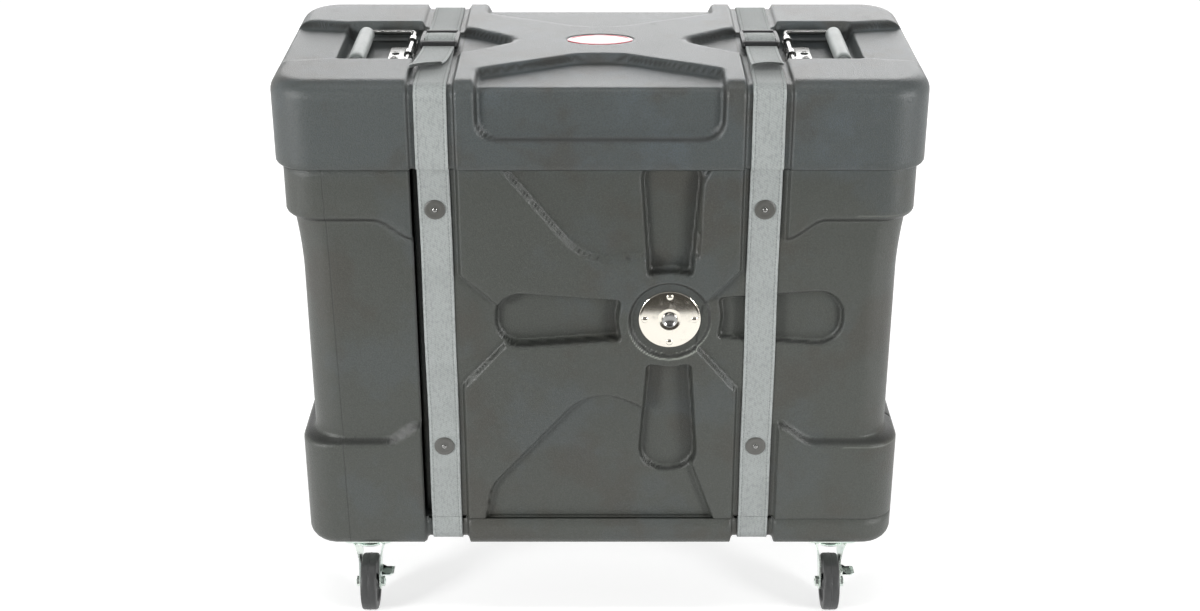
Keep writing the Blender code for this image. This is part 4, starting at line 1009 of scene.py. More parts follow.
def door_skin(sizes, straps):
    """The door's outer faces: its front with the relief, its round right end, and its left wall."""
    low, high = DOOR_LOW[2], DOOR_HIGH[2]
    left, back = DOOR_LOW[0], DOOR_HIGH[1]
    x0, z0 = PLATE_CENTRE
    inner, outer = straps.middle - straps.channel / 2, straps.middle + straps.channel / 2
    middle = sum(PETAL_HALVES) / 2
    near = [side * part for side in (-1, 1) for part in (middle, DISH_RADIUS, *PETAL_REACH)]
    front = graded(left, GIRDLE_X, 0.0032, 0.0016, 0.007,
                   [-inner, inner, outer, left + 0.008, *(x0 + part for part in near)])
    rows = graded(low, high, 0.0032, 0.0016, 0.007,
                  [sizes.lower_band + 0.006, sizes.upper_band - 0.006, *(z0 + part for part in near)])
    turns, walls = np.linspace(0, 1, 17)[1:], np.linspace(0, 1, 9)
    bend, z = sizes.body_corner, rows[:, None]
    drawn = even_waist(z, sizes)
    wide = BODY_HIGH[0] - end_inset(z, sizes)
    deep = BODY_HIGH[1] - sizes.waist_front * drawn
    grid_x, grid_z = settled(*np.meshgrid(front, rows), straps)
    relief, grime = door_relief(grid_x, grid_z, sizes, straps)
    face = np.stack([grid_x, BODY_LOW[1] + relief, grid_z], axis=-1)
    cx, cy, _, _ = corner_run(wide, deep, bend, GIRDLE_X, deep - bend, turns)
    corner = np.stack([cx, -cy, z + 0 * cx], axis=-1)
    end_y = -(deep - bend) + (back + deep - bend) * walls[1:]
    end = np.stack([wide + 0 * end_y, end_y, z + 0 * end_y], axis=-1)
    left_y = back + (face[:, :1, 1] - back) * walls[:-1]
    start = np.stack([left + 0 * left_y, left_y, z + 0 * left_y], axis=-1)
    skin = np.concatenate([start, face, corner, end], axis=1)
    # Painted shade on the waist's walls round the corner and end, and full painted shade on the left wall
    # inside the rebate
    beyond = np.repeat(painted_shade_and_rim_glint(drawn), corner.shape[1] + end.shape[1], axis=1) * 0.8
    grime = np.concatenate([np.ones(start.shape[:2]), grime, beyond], axis=1)
    slant = np.clip((skin[..., 1] - BODY_LOW[1]) / (back - BODY_LOW[1]), 0, 1) * DOOR_TOP_DROP
    skin[..., 2] -= slant * ramp(skin[..., 2] - (high - DOOR_TOP_DROP), 2 * DOOR_TOP_DROP)
    edge = np.concatenate([face[0], corner[0]])
    floor_y = edge[:, 1] + (back - edge[:, 1]) * walls[:, None]
    floor = np.stack(np.broadcast_arrays(edge[:, 0], floor_y, low), axis=-1)
    return skin, floor, grime


class TRAPCASE_OT_door(bpy.types.Operator):
    """Adds the vault door, a moulded tray with the cross, its four petals and the plate's dish"""

    bl_idname = "trapcase.door"
    bl_label = "Vault door"

    def execute(self, context):
        sizes = context.scene.trapcase_sizes
        skin, floor, grime = door_skin(sizes, context.scene.trapcase_straps)
        floor, quads = patch(floor, False)
        patches = [patch(skin, False), (floor, quads[..., ::-1])]
        piece = put_mesh("door_moulding", patches, "case_plastic", merge=1e-5, grime=grime)
        thicken(piece, DOOR_SHELL)
        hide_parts("vault_door")
        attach(piece, "door")
        return {"FINISHED"}


class Spline:
    """Points along a rounded path of (a, b, radius), read at even steps of its length."""

    def __init__(self, corners, step=0.0025):
        path = []
        for i, (a, b, radius) in enumerate(corners):
            if radius == 0:
                path.append((a, b))
            else:
                nearby = [(*corners[i - 1][:2], 0), (a, b, radius), (*corners[i + 1][:2], 0)]
                path.extend(rounded(nearby, 8)[1:-1])
        path = np.array(path)
        run = np.concatenate([[0], np.cumsum(np.linalg.norm(np.diff(path, axis=0), axis=1))])
        self.length = run[-1]
        self.run = np.linspace(0, self.length, max(3, int(self.length / step)))
        self.a, self.b = (np.interp(self.run, run, path[:, i]) for i in (0, 1))


def webbing(name, spline, middle, sizes, lift=0.0, bow=0.0, shift=0.0, skew=0.0, twist=0.0):
    """A strap along a path of (y, z), lifted off it, bowed and twisted across its width by arrays
    of metres and radians along the path, and skewed over its last 20 mm, as a flat tube that is
    closed at its start and open at its far end, with its own UV map in metres."""
    half, thick, skewed = sizes.width / 2, sizes.thickness, 0.020
    across = np.array([-1.0, -0.985, -0.93, -0.85, -0.6, -0.3, 0.0, 0.3, 0.6, 0.85, 0.93, 0.985, 1.0])
    bulge = np.array([0.30, 0.80, *[1.0] * 9, 0.80, 0.30]) * thick / 2
    loop = np.concatenate([across, across[::-1]])
    face = np.concatenate([bulge, -bulge[::-1]])
    lift, bow, shift, twist = (np.zeros_like(spline.run) + part for part in (lift, bow, shift, twist))
    ahead = np.stack([np.gradient(spline.a), np.gradient(spline.b)], axis=1)
    ahead /= np.linalg.norm(ahead, axis=1)[:, None]
    out = np.stack([ahead[:, 1], -ahead[:, 0]], axis=1)
    rise = (lift - thick / 2)[:, None] + face + bow[:, None] * (1 - loop ** 2)
    rise = rise + np.sin(twist)[:, None] * loop * half
    x = middle + shift[:, None] + loop * half * np.cos(twist)[:, None]
    late = np.clip((spline.run - spline.length) / skewed + 1, 0, 1)
    part = late[:, None] * skew * loop * half
    y = spline.a[:, None] + out[:, :1] * rise + ahead[:, :1] * part
    z = spline.b[:, None] + out[:, 1:] * rise + ahead[:, 1:] * part
    points, _ = capped(np.stack([x, y, z], axis=-1))
    uv = np.stack(np.broadcast_arrays(loop * half, spline.run[:, None]), axis=-1)
    uv = np.concatenate([uv[:1], uv])
    return put_mesh(name, [patch(points[:-1])], "strap_webbing", uv=uv, merge=1e-7, angle=60)


def soft_wave(run, seed, size, pitch):
    """A slow waver of this size along a strap, never the same on two straps."""
    turn = run * 2 * np.pi / pitch
    return size * (np.sin(turn + seed) * 0.6 + np.sin(turn * 0.37 + seed * 2.3) * 0.4)


class TRAPCASE_OT_straps(bpy.types.Operator):
    """Adds the two straps in the runs that the door, the case and the lid carry"""

    bl_idname = "trapcase.straps"
    bl_label = "Straps"

    def execute(self, context):
        sizes = context.scene.trapcase_straps
        for seed, (side, sign) in enumerate(SIDES.items()):
            for part, body, corners in self.runs(side):
                spline = Spline(corners)
                waver = soft_wave(spline.run, seed * 2.1 + len(part), 0.0006, 0.23)
                piece = webbing(f"webbing_{part}_{side}", spline, sign * sizes.middle, sizes, shift=waver)
                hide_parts(f"strap_{part}_{side}")
                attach(piece, body)
        return {"FINISHED"}

    def runs(self, side):
        """The runs' paths of (y, z, radius), each with its outer face to the right of its way."""
        (_, front, start), (_, _, top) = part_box(f"strap_front_{side}")
        yield "front", "door", [(front, top, 0), (front, start, 0)]
        (_, front, under), (_, rear, top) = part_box(f"strap_rear_{side}")
        yield "rear", "case", [(front, start - JOINT_GAP, 0), (front, under, CHANNEL_BEND),
                               (rear, under, CHANNEL_BEND), (rear, top, 0)]
        (_, front, under), (_, rear, top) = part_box(f"strap_top_{side}")
        yield "top", "lid", [(rear, under, 0), (rear, top, LID_BEND), (front, top, LID_BEND),
                             (front, under, 0)]


class TRAPCASE_OT_buckles(bpy.types.Operator):
    """Adds the ladder buckles, the webbing laced through them and the loose tails"""

    bl_idname = "trapcase.buckles"
    bl_label = "Buckles and tails"

    def execute(self, context):
        sizes = context.scene.trapcase_straps
        for side, sign in SIDES.items():
            self.buckle(side)
            self.lacing(side, sign * sizes.middle, sizes)
            self.tail(side, sign, sign * sizes.middle, sizes)
        return {"FINISHED"}

    def buckle(self, side):
        """A cast plastic frame: two cheeks with rounded backs, and three bars between them."""
        (left, front, seat), (right, rear, top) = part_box(f"buckle_{side}")
        cheek = rounded([(front, seat, 0.002), (rear, seat, 0.001), (rear, seat + 0.0066, 0.0030),
                         (0.006, seat + 0.0086, 0.010), (front + 0.010, top, 0.004),
                         (front, top - 0.001, 0.0035)], 5)
        rims = [(0.0048, 0.80), (0.0044, 0.97), (0.0020, 1.0), (0.0006, 0.96), (0.0, 0.84)]
        patches = [capped(rings_of(cheek, [(end - out * depth, share) for depth, share in rims], "X"))
                   for out, end in ((-1, left), (1, right))]
        bars = [(front + 0.0038, seat + 0.0050, 0.0074, 0.0078), (-0.002, seat + 0.0030, 0.0054, 0.0040),
                (rear - 0.0038, seat + 0.0056, 0.0072, 0.0046)]
        for y, z, deep, tall in bars:
            section = rounded_section(deep, tall, min(deep, tall) * 0.42) + (y, z)
            places = np.linspace(left + 0.004, right - 0.004, 7)
            patches.append(patch(rings_of(section, [(x, 1.0) for x in places], "X")))
        piece = put_mesh(f"buckle_frame_{side}", patches, "buckle_plastic", angle=50)
        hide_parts(f"buckle_{side}")
        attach(piece, "lid")

    def lacing(self, side, middle, sizes):
        """The webbing that comes over the rear bar, wraps the middle bar and goes under the front one."""
        (_, front, seat), (_, rear, _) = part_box(f"buckle_{side}")
        path = [(rear - 0.0078, seat + sizes.thickness + 0.0010, 0), (rear - 0.0105, seat + 0.0066, 0.0030),
                (0.005, seat + 0.0084, 0.010), (front + 0.0165, seat + 0.0088, 0.006),
                (front + 0.0098, seat + 0.0034, 0.0040), (front + 0.0112, seat + 0.0022, 0)]
        spline = Spline(path, 0.0009)
        part = spline.run / spline.length
        folds = 0.0006 * np.sin(part * 40) * np.clip((part - 0.35) * 3, 0, 1)
        piece = webbing(f"buckle_lacing_{side}", spline, middle, sizes, lift=folds,
                        bow=0.0009 * np.sin(part * np.pi))
        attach(piece, "lid")

    def tail(self, side, sign, middle, sizes):
        """The loose end with its folded hem: cut slantwise and drifting outwards on the left, and
        nearly square on the right."""
        slant, turn, hollow, drift = ((-0.24, 0.055, 0.0012, -0.0085) if sign < 0 else
                                      (-0.03, 0.020, 0.0026, 0.0010))
        step, hem_length = 0.0014, 0.008
        (_, front, base), (_, rear, top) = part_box(f"strap_tail_{side}")
        reach = rear - front
        spline = Spline([(rear + 0.010, base + 0.0018, 0), (rear - reach * 0.3, base + 0.0022, 0.05),
                         (rear - reach * 0.72, base + 0.0036, 0.05), (front + 0.001, top - 0.001, 0)], step)
        part = spline.run / spline.length
        late = np.clip((part - 0.55) / 0.45, 0, 1) ** 2
        form = {"lift": 0.0004 * np.sin(part * 9 + sign) * part, "bow": late * hollow,
                "shift": part ** 1.6 * drift, "twist": late * turn}
        piece = webbing(f"strap_end_{side}", spline, middle, sizes, skew=slant, **form)
        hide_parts(f"strap_tail_{side}")
        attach(piece, "lid")
        last = spline.run > spline.length - hem_length
        hem = Spline([(a, b, 0) for a, b in zip(spline.a[last], spline.b[last])], step)
        there, here = np.linspace(0, 1, last.sum()), np.linspace(0, 1, len(hem.run))
        form = {kind: np.interp(here, there, values[last]) for kind, values in form.items()}
        form["lift"] += sizes.thickness * 0.95
        folded = webbing(f"strap_hem_{side}", hem, middle, sizes, skew=slant, **form)
        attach(folded, "lid")


class TRAPCASE_OT_plate(bpy.types.Operator):
    """Adds the polished plate, its rivets, the stud and the felts on it"""

    bl_idname = "trapcase.plate"
    bl_label = "Plate and stud"

    def execute(self, context):
        plate = Box("vault_plate")
        x, _, z = plate.middle
        radius, thick, bore = plate.half[0], plate.high[1] - plate.low[1], 0.0045
        bow = [(radius * share, thick + 0.0011 * (1 - share ** 2)) for share in
               (0.965, 0.9, 0.8, 0.7, 0.6, 0.5, 0.4, 0.33)]
        profile = [(bore, 0.0), (radius - 0.0006, 0.0), (radius, 0.0004), (radius, thick * 0.6),
                   (radius - 0.0004, thick * 0.9), *bow, (0.0105, thick * 1.5), (bore, thick)]
        piece = turned("vault_plate_polished", facing(profile), (x, plate.high[1], z), "Y", "nickel_plate",
                       96, hollow=True, angle=40)
        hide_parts("vault_plate")
        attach(piece, "door")
        for spot in ("top", "right", "bottom", "left"):
            self.rivet(f"plate_rivet_{spot}", plate.low[1])
        self.stud(x, z, plate.low[1])
        for name in ("vault_felt_front", "vault_felt_back"):
            self.felt(name)
        return {"FINISHED"}

    def rivet(self, name, face):
        """A domed rivet whose shank goes through the plate."""
        box = Box(name)
        head, shank, foot, top = box.half[0], 0.0018, face - box.high[1], face - box.low[1]
        profile = [(0.0, foot), (shank, foot), (shank, -0.0004), (head * 0.98, -0.0004),
                   *dome(head, top)[:-1], (0.0, top)]
        piece = turned(f"{name}_domed", facing(profile), (box.middle[0], face, box.middle[2]), "Y",
                       "nickel_plate", 32, angle=40)
        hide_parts(name)
        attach(piece, "door")

    def stud(self, x, z, inner):
        """A threaded stud whose head shows as a raised ring round a dimple."""
        box = Box("vault_stud")
        head, face, tip = box.half[0], box.low[1], box.high[1]
        tall, shank, pitch, cut = inner - face, 0.004, 0.0012, 0.00045
        start, end = inner + 0.006, tip - 0.001
        count = int((end - start) / pitch) * 2
        dimple = [(head * 0.62 * part, face + tall * (0.75 - 0.35 * part ** 2)) for part in
                  (0.0, 0.4, 0.8, 1.0)]
        ring = [(head * 0.72, face + 0.0004), (head * 0.80, face), (head * 0.90, face + 0.0005),
                (head * 0.96, face + tall * 0.5), (head, face + tall - 0.0002), (shank, face + tall)]
        thread = [(shank - cut * (i % 2), start + (end - start) * i / count) for i in range(count)]
        profile = [*dimple, *ring, (shank, start), *thread, (shank - 0.0008, tip), (0.0, tip)]
        piece = turned("vault_stud_threaded", profile, (x, 0.0, z), "Y", "bright_steel", 40, angle=35)
        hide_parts("vault_stud")
        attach(piece, "door")

    def felt(self, name):
        """A felt pad with a rounded rim."""
        box = Box(name)
        radius, deep, bore = box.half[0], box.high[1] - box.low[1], 0.0075
        rim = [(radius - 0.0012, 0.0), (radius - 0.0003, deep * 0.2), (radius, deep * 0.5),
               (radius - 0.0003, deep * 0.8), (radius - 0.0012, deep)]
        piece = turned(f"{name}_pad", [(bore, 0.0), *rim, (bore, deep)],
                       (box.middle[0], box.low[1], box.middle[2]), "Y", "felt", 56, hollow=True, angle=60)
        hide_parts(name)
        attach(piece, "door")


class TRAPCASE_OT_washers(bpy.types.Operator):
    """Adds the dished washers and small rivets that hold the straps to the door"""

    bl_idname = "trapcase.washers"
    bl_label = "Strap washers"

    def execute(self, context):
        for side in SIDES:
            for height in ("low", "high"):
                washer = self.washer(f"strap_washer_{side}_{height}")
                self.rivet(f"strap_rivet_{side}_{height}", washer.low[1])
        return {"FINISHED"}

    def washer(self, name):
        """A dished washer with a groove round its middle, and its box."""
        box = Box(name)
        radius, deep, bore = box.half[0], box.high[1] - box.low[1], 0.0027
        profile = [(bore, 0.0), (radius - 0.0010, 0.0), (radius, deep * 0.25),
                   (radius - 0.0002, deep * 0.55), (radius - 0.0013, deep * 0.86),
                   (radius * 0.80, deep * 0.92), (radius * 0.52, deep * 0.96), (radius * 0.47, deep * 0.84),
                   (radius * 0.43, deep * 0.97), (radius * 0.36, deep), (0.0030, deep), (bore, deep * 0.9)]
        piece = turned(f"{name}_dished", facing(profile), (box.middle[0], box.high[1], box.middle[2]), "Y",
                       "washer_plastic", 48, hollow=True, angle=40)
        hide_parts(name)
        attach(piece, "door")
        return box

    def rivet(self, name, face):
        """A small rivet with a dimple, its head a little clear of the washer's face."""
        box, clear = Box(name), 0.0003
        head, tall, shank = box.half[0] * 0.72, (face - clear - box.low[1]) * 0.8, 0.0022
        foot = face - box.high[1]
        crown = [(radius, clear + height) for radius, height in dome(head, tall, 70, 6)]
        profile = [(0.0, foot), (shank, foot), (shank, clear), *crown, (head * 0.28, tall * 0.80),
                   (0.0, tall * 0.72)]
        piece = turned(f"{name}_domed", facing(profile), (box.middle[0], face, box.middle[2]), "Y",
                       "bright_steel", 28, angle=50)
        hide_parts(name)
        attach(piece, "door")


class TRAPCASE_OT_badge(bpy.types.Operator):
    """Adds the plain oval badge, a raised rim round a bowed field, both of the enamel finish"""

    bl_idname = "trapcase.badge"
    bl_label = "Badge"

    def execute(self, context):
        box = Box("badge")
        thick = box.high[2] - box.low[2]
        profile = [(0.0, thick * 0.93), (0.30, thick * 0.92), (0.60, thick * 0.88), (0.80, thick * 0.82),
                   (0.885, thick * 0.76), (0.90, thick * 0.98), (0.95, thick), (0.985, thick * 0.85),
                   (1.0, thick * 0.5), (1.0, 0.0), (0.0, 0.0)]
        points, faces = revolved(profile, (0.0, 0.0, 0.0), "Z", 96)
        points = points * (*box.half[:2], 1.0) + (*box.middle[:2], box.low[2])
        piece = put_mesh("badge_oval", [(points, faces)], "badge_enamel", angle=45)
        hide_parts("badge")
        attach(piece, "lid")
        return {"FINISHED"}


class TRAPCASE_OT_handles(bpy.types.Operator):
    """Adds the folding handles with their grips, hinge plates, barrels and screws"""

    bl_idname = "trapcase.handles"
    bl_label = "Handles"

    def execute(self, context):
        for side, sign in SIDES.items():
            self.grip(side)
            self.bail(side)
            self.hinge(side, sign)
            for place in ("front", "rear"):
                self.screw(f"hinge_screw_{side}_{place}")
        return {"FINISHED"}

    def grip(self, side):
        """A moulded sleeve, a little fuller in the middle, with a stepped rim at each end."""
        box = Box(f"handle_grip_{side}")
        centre = (box.middle[0], 0.0, box.middle[2])
        radius, half, bore = box.half[0], box.half[1], 0.0034
        outer = [(radius * (0.965 + 0.035 * math.cos(share * math.pi / 2)), half * share * 0.965)
                 for share in np.linspace(-1, 1, 17)]
        start = [(bore, -half), (radius * 0.52, -half), (radius * 0.56, -half + 0.0012),
                 (radius * 0.66, -half + 0.0012), (radius * 0.70, -half), (radius * 0.86, -half),
                 (radius * 0.93, -half + 0.0008)]
        profile = [*start, *outer, *((r, -y) for r, y in start[::-1])]
        piece = turned(f"handle_sleeve_{side}", profile, centre, "Y", "grip_rubber", 48, hollow=True,
                       angle=40)
        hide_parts(f"handle_grip_{side}")
        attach(piece, f"handle_{side}")

    def bail(self, side):
        """Bent wire of one thickness, from the barrel out to the grip and back."""
        box = Box(f"handle_bail_{side}")
        radius, level, bend, steps = box.half[2], box.middle[2], 0.0062, 16
        (x0, y0), (x1, y1) = box.low[:2] + radius, box.high[:2] - radius
        loop = rounded([(x0, y0, bend), (x1, y0, bend), (x1, y1, bend), (x0, y1, bend)], 8)
        ahead = np.roll(loop, -1, axis=0) - np.roll(loop, 1, axis=0)
        out = np.stack([ahead[:, 1], -ahead[:, 0]], axis=1) / np.linalg.norm(ahead, axis=1)[:, None]
        turn = np.linspace(0, 2 * np.pi, steps, endpoint=False)
        flat = loop[:, None] + out[:, None] * (radius * np.cos(turn))[None, :, None]
        up = level + radius * np.broadcast_to(np.sin(turn), flat.shape[:2])
        points = np.concatenate([flat, up[..., None]], axis=-1)
        tube = patch(np.concatenate([points, points[:1]]))
        piece = put_mesh(f"handle_wire_{side}", [tube], "bright_steel")
        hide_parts(f"handle_bail_{side}")
        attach(piece, f"handle_{side}")

    def hinge(self, side, sign):
        """A pressed plate whose ends roll over the wire as two barrels, with a web under each."""
        box, bail = Box(f"hinge_plate_{side}"), Box(f"handle_bail_{side}")
        level, floor, thick, edge = bail.middle[2], box.low[2], 0.002, 0.0008
        pivot = sign * (min(abs(bail.low[0]), abs(bail.high[0])) + 0.003)
        inner, outer, leaf_reach = 0.0034, 0.0054, 0.0275
        near, far = pivot - sign * outer, pivot + sign * leaf_reach
        turn = np.radians(np.linspace(-20, 215, 15))
        roll, lining = (np.stack([pivot + sign * radius * np.cos(turn), level + radius * np.sin(turn)], 1)
                        for radius in (outer, inner))
        barrel = np.concatenate([roll, lining[::-1]])
        web_back, web_top = near + sign * thick, level - 0.002
        web = np.array([(near, floor), (web_back, floor), (web_back, web_top), (near, web_top)])
        patches = []
        for start, end in ((-0.034, -0.022), (0.022, 0.034)):
            stations = [(y, 1.0) for y in (start, start + edge, end - edge, end)]
            patches.append(patch(rings_of(barrel, stations, "Y")))
            for y in (start, end):
                patches.append(patch(np.insert(np.array([roll, lining]), 1, y, axis=-1), False))
            patches.append(capped(rings_of(web, [(start, 1.0), (end, 1.0)], "Y")))
        leaf = rounded([(near, box.low[1], 0.002), (far, box.low[1], 0.005), (far, box.high[1], 0.005),
                        (near, box.high[1], 0.002)], 5)
        levels = [(floor, 0.0), (floor, 1.0), (floor + thick * 0.7, 1.0), (floor + thick, 0.985),
                  (floor + thick, 0.0)]
        patches.append(patch(rings_of(leaf, levels, "Z")))
        piece = put_mesh(f"hinge_leaf_{side}", patches, "bright_steel", angle=35)
        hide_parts(f"hinge_plate_{side}")
        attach(piece, "lid")

    def screw(self, name):
        """A domed head with a cross sunk into it, as rings round its middle."""
        box = Box(name)
        radius, top, head = box.half[0], box.high[2], 0.0018
        half, reach = 0.00062, radius * 0.58
        share = np.array([0.0, 0.12, 0.2, 0.28, 0.36, 0.44, 0.52, 0.60, 0.70, 0.82, 0.92, 1.0])[:, None]
        turn = np.linspace(0, 2 * np.pi, 72, endpoint=False)
        x, y = radius * share * np.cos(turn), radius * share * np.sin(turn)
        cross = ramp(half - np.minimum(abs(x), abs(y)), 0.0005) * ramp(reach - np.hypot(x, y), 0.0006)
        z = top - head * 0.45 * share ** 2 - cross * head * 0.55
        skirt = np.stack([x[-1], y[-1], np.full(len(turn), top - head)], axis=-1)
        hub = np.zeros_like(skirt) + (0, 0, top - head)
        points = np.concatenate([np.stack([x, y, z], axis=-1), skirt[None], hub[None]])
        points[..., :2] += box.middle[:2]
        piece = put_mesh(f"{name}_crosshead", [patch(points)], "bright_steel", angle=40)
        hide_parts(name)
        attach(piece, "lid")


class TRAPCASE_OT_casters(bpy.types.Operator):
    """Adds the four swivel casters: bolted plates, raceways, forks, wheels, axles and brake tabs"""

    bl_idname = "trapcase.casters"
    bl_label = "Casters"

    def execute(self, context):
        for corner in CORNERS:
            self.mount(corner)
            self.fork(corner)
            self.wheel(corner)
            self.axle(corner)
        for corner in CORNERS[:2]:
            self.brake(corner)
        return {"FINISHED"}

    def mount(self, corner):
        """A square plate with rounded corners, the turned raceway below it, and four bolt heads."""
        box = Box(f"caster_mount_{corner}")
        (x, y, _), half, low, top = box.middle, box.half[0], box.low[2], box.high[2]
        base, bolt_reach = top - 0.003, half * 0.74
        outline = rounded_section(2 * half, 2 * half, 0.006, 5) + (x, y)
        levels = [(top, 0.0), (top, 0.995), (top - 0.0005, 1.0), (base + 0.0005, 1.0), (base, 0.99),
                  (base, 0.0)]
        race = [(0.0, top - 0.001), (0.0235, base), (0.024, base - 0.0008), (0.024, low + 0.0030),
                (0.0232, low + 0.0016), (0.0212, low + 0.0012), (0.0205, low + 0.0026),
                (0.0185, low + 0.0026), (0.0178, low), (0.0, low)]
        patches = [patch(rings_of(outline, levels, "Z")), revolved(race, (x, y, 0.0), "Z", 56)]
        piece = put_mesh(f"caster_plate_{corner}", patches, "zinc_plate", angle=35)
        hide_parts(f"caster_mount_{corner}")
        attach(piece, "case")
        head = [(0.0, base), (0.0052, base), (0.0052, base - 0.0026), (0.0046, base - 0.0032),
                (0.0, base - 0.0032)]
        heads = [revolved(head, (x + dx * bolt_reach, y + dy * bolt_reach, 0.0), "Z", 6)
                 for dx, dy in ((-1, -1), (1, -1), (1, 1), (-1, 1))]
        bolts = put_mesh(f"caster_bolts_{corner}", heads, "zinc_plate", angle=30)
        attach(bolts, "case")

    def fork(self, corner):
        """A pressed fork: a round crown that folds down through shoulders into two tapered legs."""
        wheel = Box(f"caster_wheel_{corner}")
        x, y, _ = Box(f"caster_mount_{corner}").middle
        _, axle_y, axle_z = wheel.middle
        top, wall = Box(f"caster_fork_{corner}").high[2], 0.0025
        start, face = top - 0.0004, wheel.half[0] + 0.0003 + wall
        shoulder, toe = 0.021, 0.0105
        crown = [(0.0, top), (0.0215, top), (0.0228, top - 0.0008), (0.023, top - 0.0022),
                 (0.0218, top - 0.0035), (0.0, top - 0.0035)]
        patches = [revolved(crown, (x, y, 0.0), "Z", 56)]
        down, tip = np.linspace(0, 1, 22), np.radians(np.linspace(0, 90, 8))[1:]
        blend = down * down * (3 - 2 * down)
        z = np.concatenate([start - (start - axle_z) * down, axle_z - toe * np.sin(tip)])
        centre = np.concatenate([y + (axle_y - y) * blend, np.full(len(tip), axle_y)])
        spread = np.concatenate([shoulder + (toe - shoulder) * np.clip(blend * 1.05, 0, 1),
                                 toe * np.cos(tip) + 1e-5])
        across = np.linspace(-1, 1, 9)
        ys, zs = centre[:, None] + spread[:, None] * across, z[:, None] + 0 * across
        lean = 0.0068 * np.clip(1 - (start - zs) / 0.026, 0, 1) ** 1.6
        for side in (-1, 1):
            outer, inner = (np.stack([x + side * (face + lean - depth), ys, zs], axis=-1)
                            for depth in (0.0005 * across ** 8, wall))
            patches.append(capped(np.concatenate([outer, inner[:, ::-1]], axis=1)))
        bridge = rounded_section(2 * face, 0.0035, 0.0016) + (x, start - 0.00175)
        stations = [(place, 1.0) for place in np.linspace(y - 0.0147, y + 0.0147, 5)]
        patches.append(capped(rings_of(bridge, stations, "Y")))
        piece = put_mesh(f"caster_legs_{corner}", patches, "zinc_plate", angle=35)
        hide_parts(f"caster_fork_{corner}")
        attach(piece, f"fork_{corner}")

    def wheel(self, corner):
        """A moulded wheel: a tread with a fine mould line, a sunk web and a stepped hub."""
        box = Box(f"caster_wheel_{corner}")
        hub, _, radius = box.half
        half, bore = hub - 0.0015, 0.0043
        side = [(bore, hub), (0.0088, hub), (0.0096, hub - 0.0006), (0.0102, half - 0.0012),
                (0.0118, half - 0.0030), (0.0150, half - 0.0038), (0.0225, half - 0.0038),
                (0.0258, half - 0.0028), (0.0272, half - 0.0004), (0.0285, half),
                (radius - 0.0034, half), (radius - 0.0016, half - 0.0005), (radius - 0.0008, half - 0.0014),
                (radius - 0.0005, half - 0.0030), (radius - 0.0004, 0.0012), (radius - 0.0005, 0.0008)]
        ridge = [(radius - 0.0001, 0.0004), (radius, 0.0)]
        profile = side + ridge + [(r, -x) for r, x in (side + ridge[:1])[::-1]]
        piece = turned(f"caster_tyre_{corner}", profile, box.middle, "X", "wheel_rubber", 96, hollow=True,
                       angle=38)
        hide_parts(f"caster_wheel_{corner}")
        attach(piece, f"wheel_{corner}")

    def axle(self, corner):
        """The axle bolt: a round shank with a hexagon at each end."""
        box = Box(f"caster_axle_{corner}")
        reach, wide, inset = box.half[0], 0.0068, 0.0010
        nut = [(0.0, reach - 0.005), (wide, reach - 0.005), (wide, reach - 0.0016),
               (wide * 0.9, reach - inset), (0.0, reach - inset)]
        shank = [(0.0, -reach), (0.0032, -reach + 0.0002), (0.004, -reach + 0.001), (0.004, reach - 0.001),
                 (0.0032, reach - 0.0002), (0.0, reach)]
        patches = [revolved([(r, side * a) for r, a in nut], box.middle, "X", 6) for side in (-1, 1)]
        patches.append(revolved(shank, box.middle, "X", 24))
        piece = put_mesh(f"caster_bolt_{corner}", patches, "zinc_plate", angle=30)
        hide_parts(f"caster_axle_{corner}")
        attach(piece, f"fork_{corner}")

    def brake(self, corner):
        """A bent tab, narrower at its sides' ends: a flange against the leg and a tread plate whose
        lip turns up."""
        name = f"brake_tab_{corner}"
        box, thick, lip = Box(name), 0.0015, 0.003
        (start, _, base), (end, _, top) = box.low, box.high
        outline = rounded([(start, base, 0.0008), (end - lip, base, 0.0006), (end, base + lip, 0.0002),
                           (end - thick, base + lip, 0.0002), (end - lip - thick / 2, base + thick, 0.0003),
                           (start + thick, base + thick, 0.0004), (start + thick, top, 0.0003),
                           (start, top, 0.0003)], 4)
        rings = []
        for place, size in zip((-1.0, -0.96, -0.86, 0.86, 0.96, 1.0), (0.84, 0.94, 1.0, 1.0, 0.94, 0.84)):
            ring = np.insert(outline, 1, box.middle[1] + box.half[1] * place, axis=1)
            ring[:, 0] = start + (ring[:, 0] - start) * size
            rings.append(ring)
        piece = put_mesh(f"{name}_bent", [capped(rings)], "zinc_plate", angle=40)
        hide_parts(name)
        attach(piece, f"brake_{corner}")


class TRAPCASE_OT_finish_nodes(bpy.types.Operator):
    """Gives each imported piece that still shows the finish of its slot"""

    bl_idname = "trapcase.finish_nodes"
    bl_label = "Finish the packed pieces"

    def execute(self, context):
        slots = {part["node"]: part["material_slot"] for part in frame["record"]["subparts"]}
        for name, node in frame["nodes"].items():
            node.data.materials.clear()
            node.data.materials.append(finish_of(slots[name]))
        return {"FINISHED"}


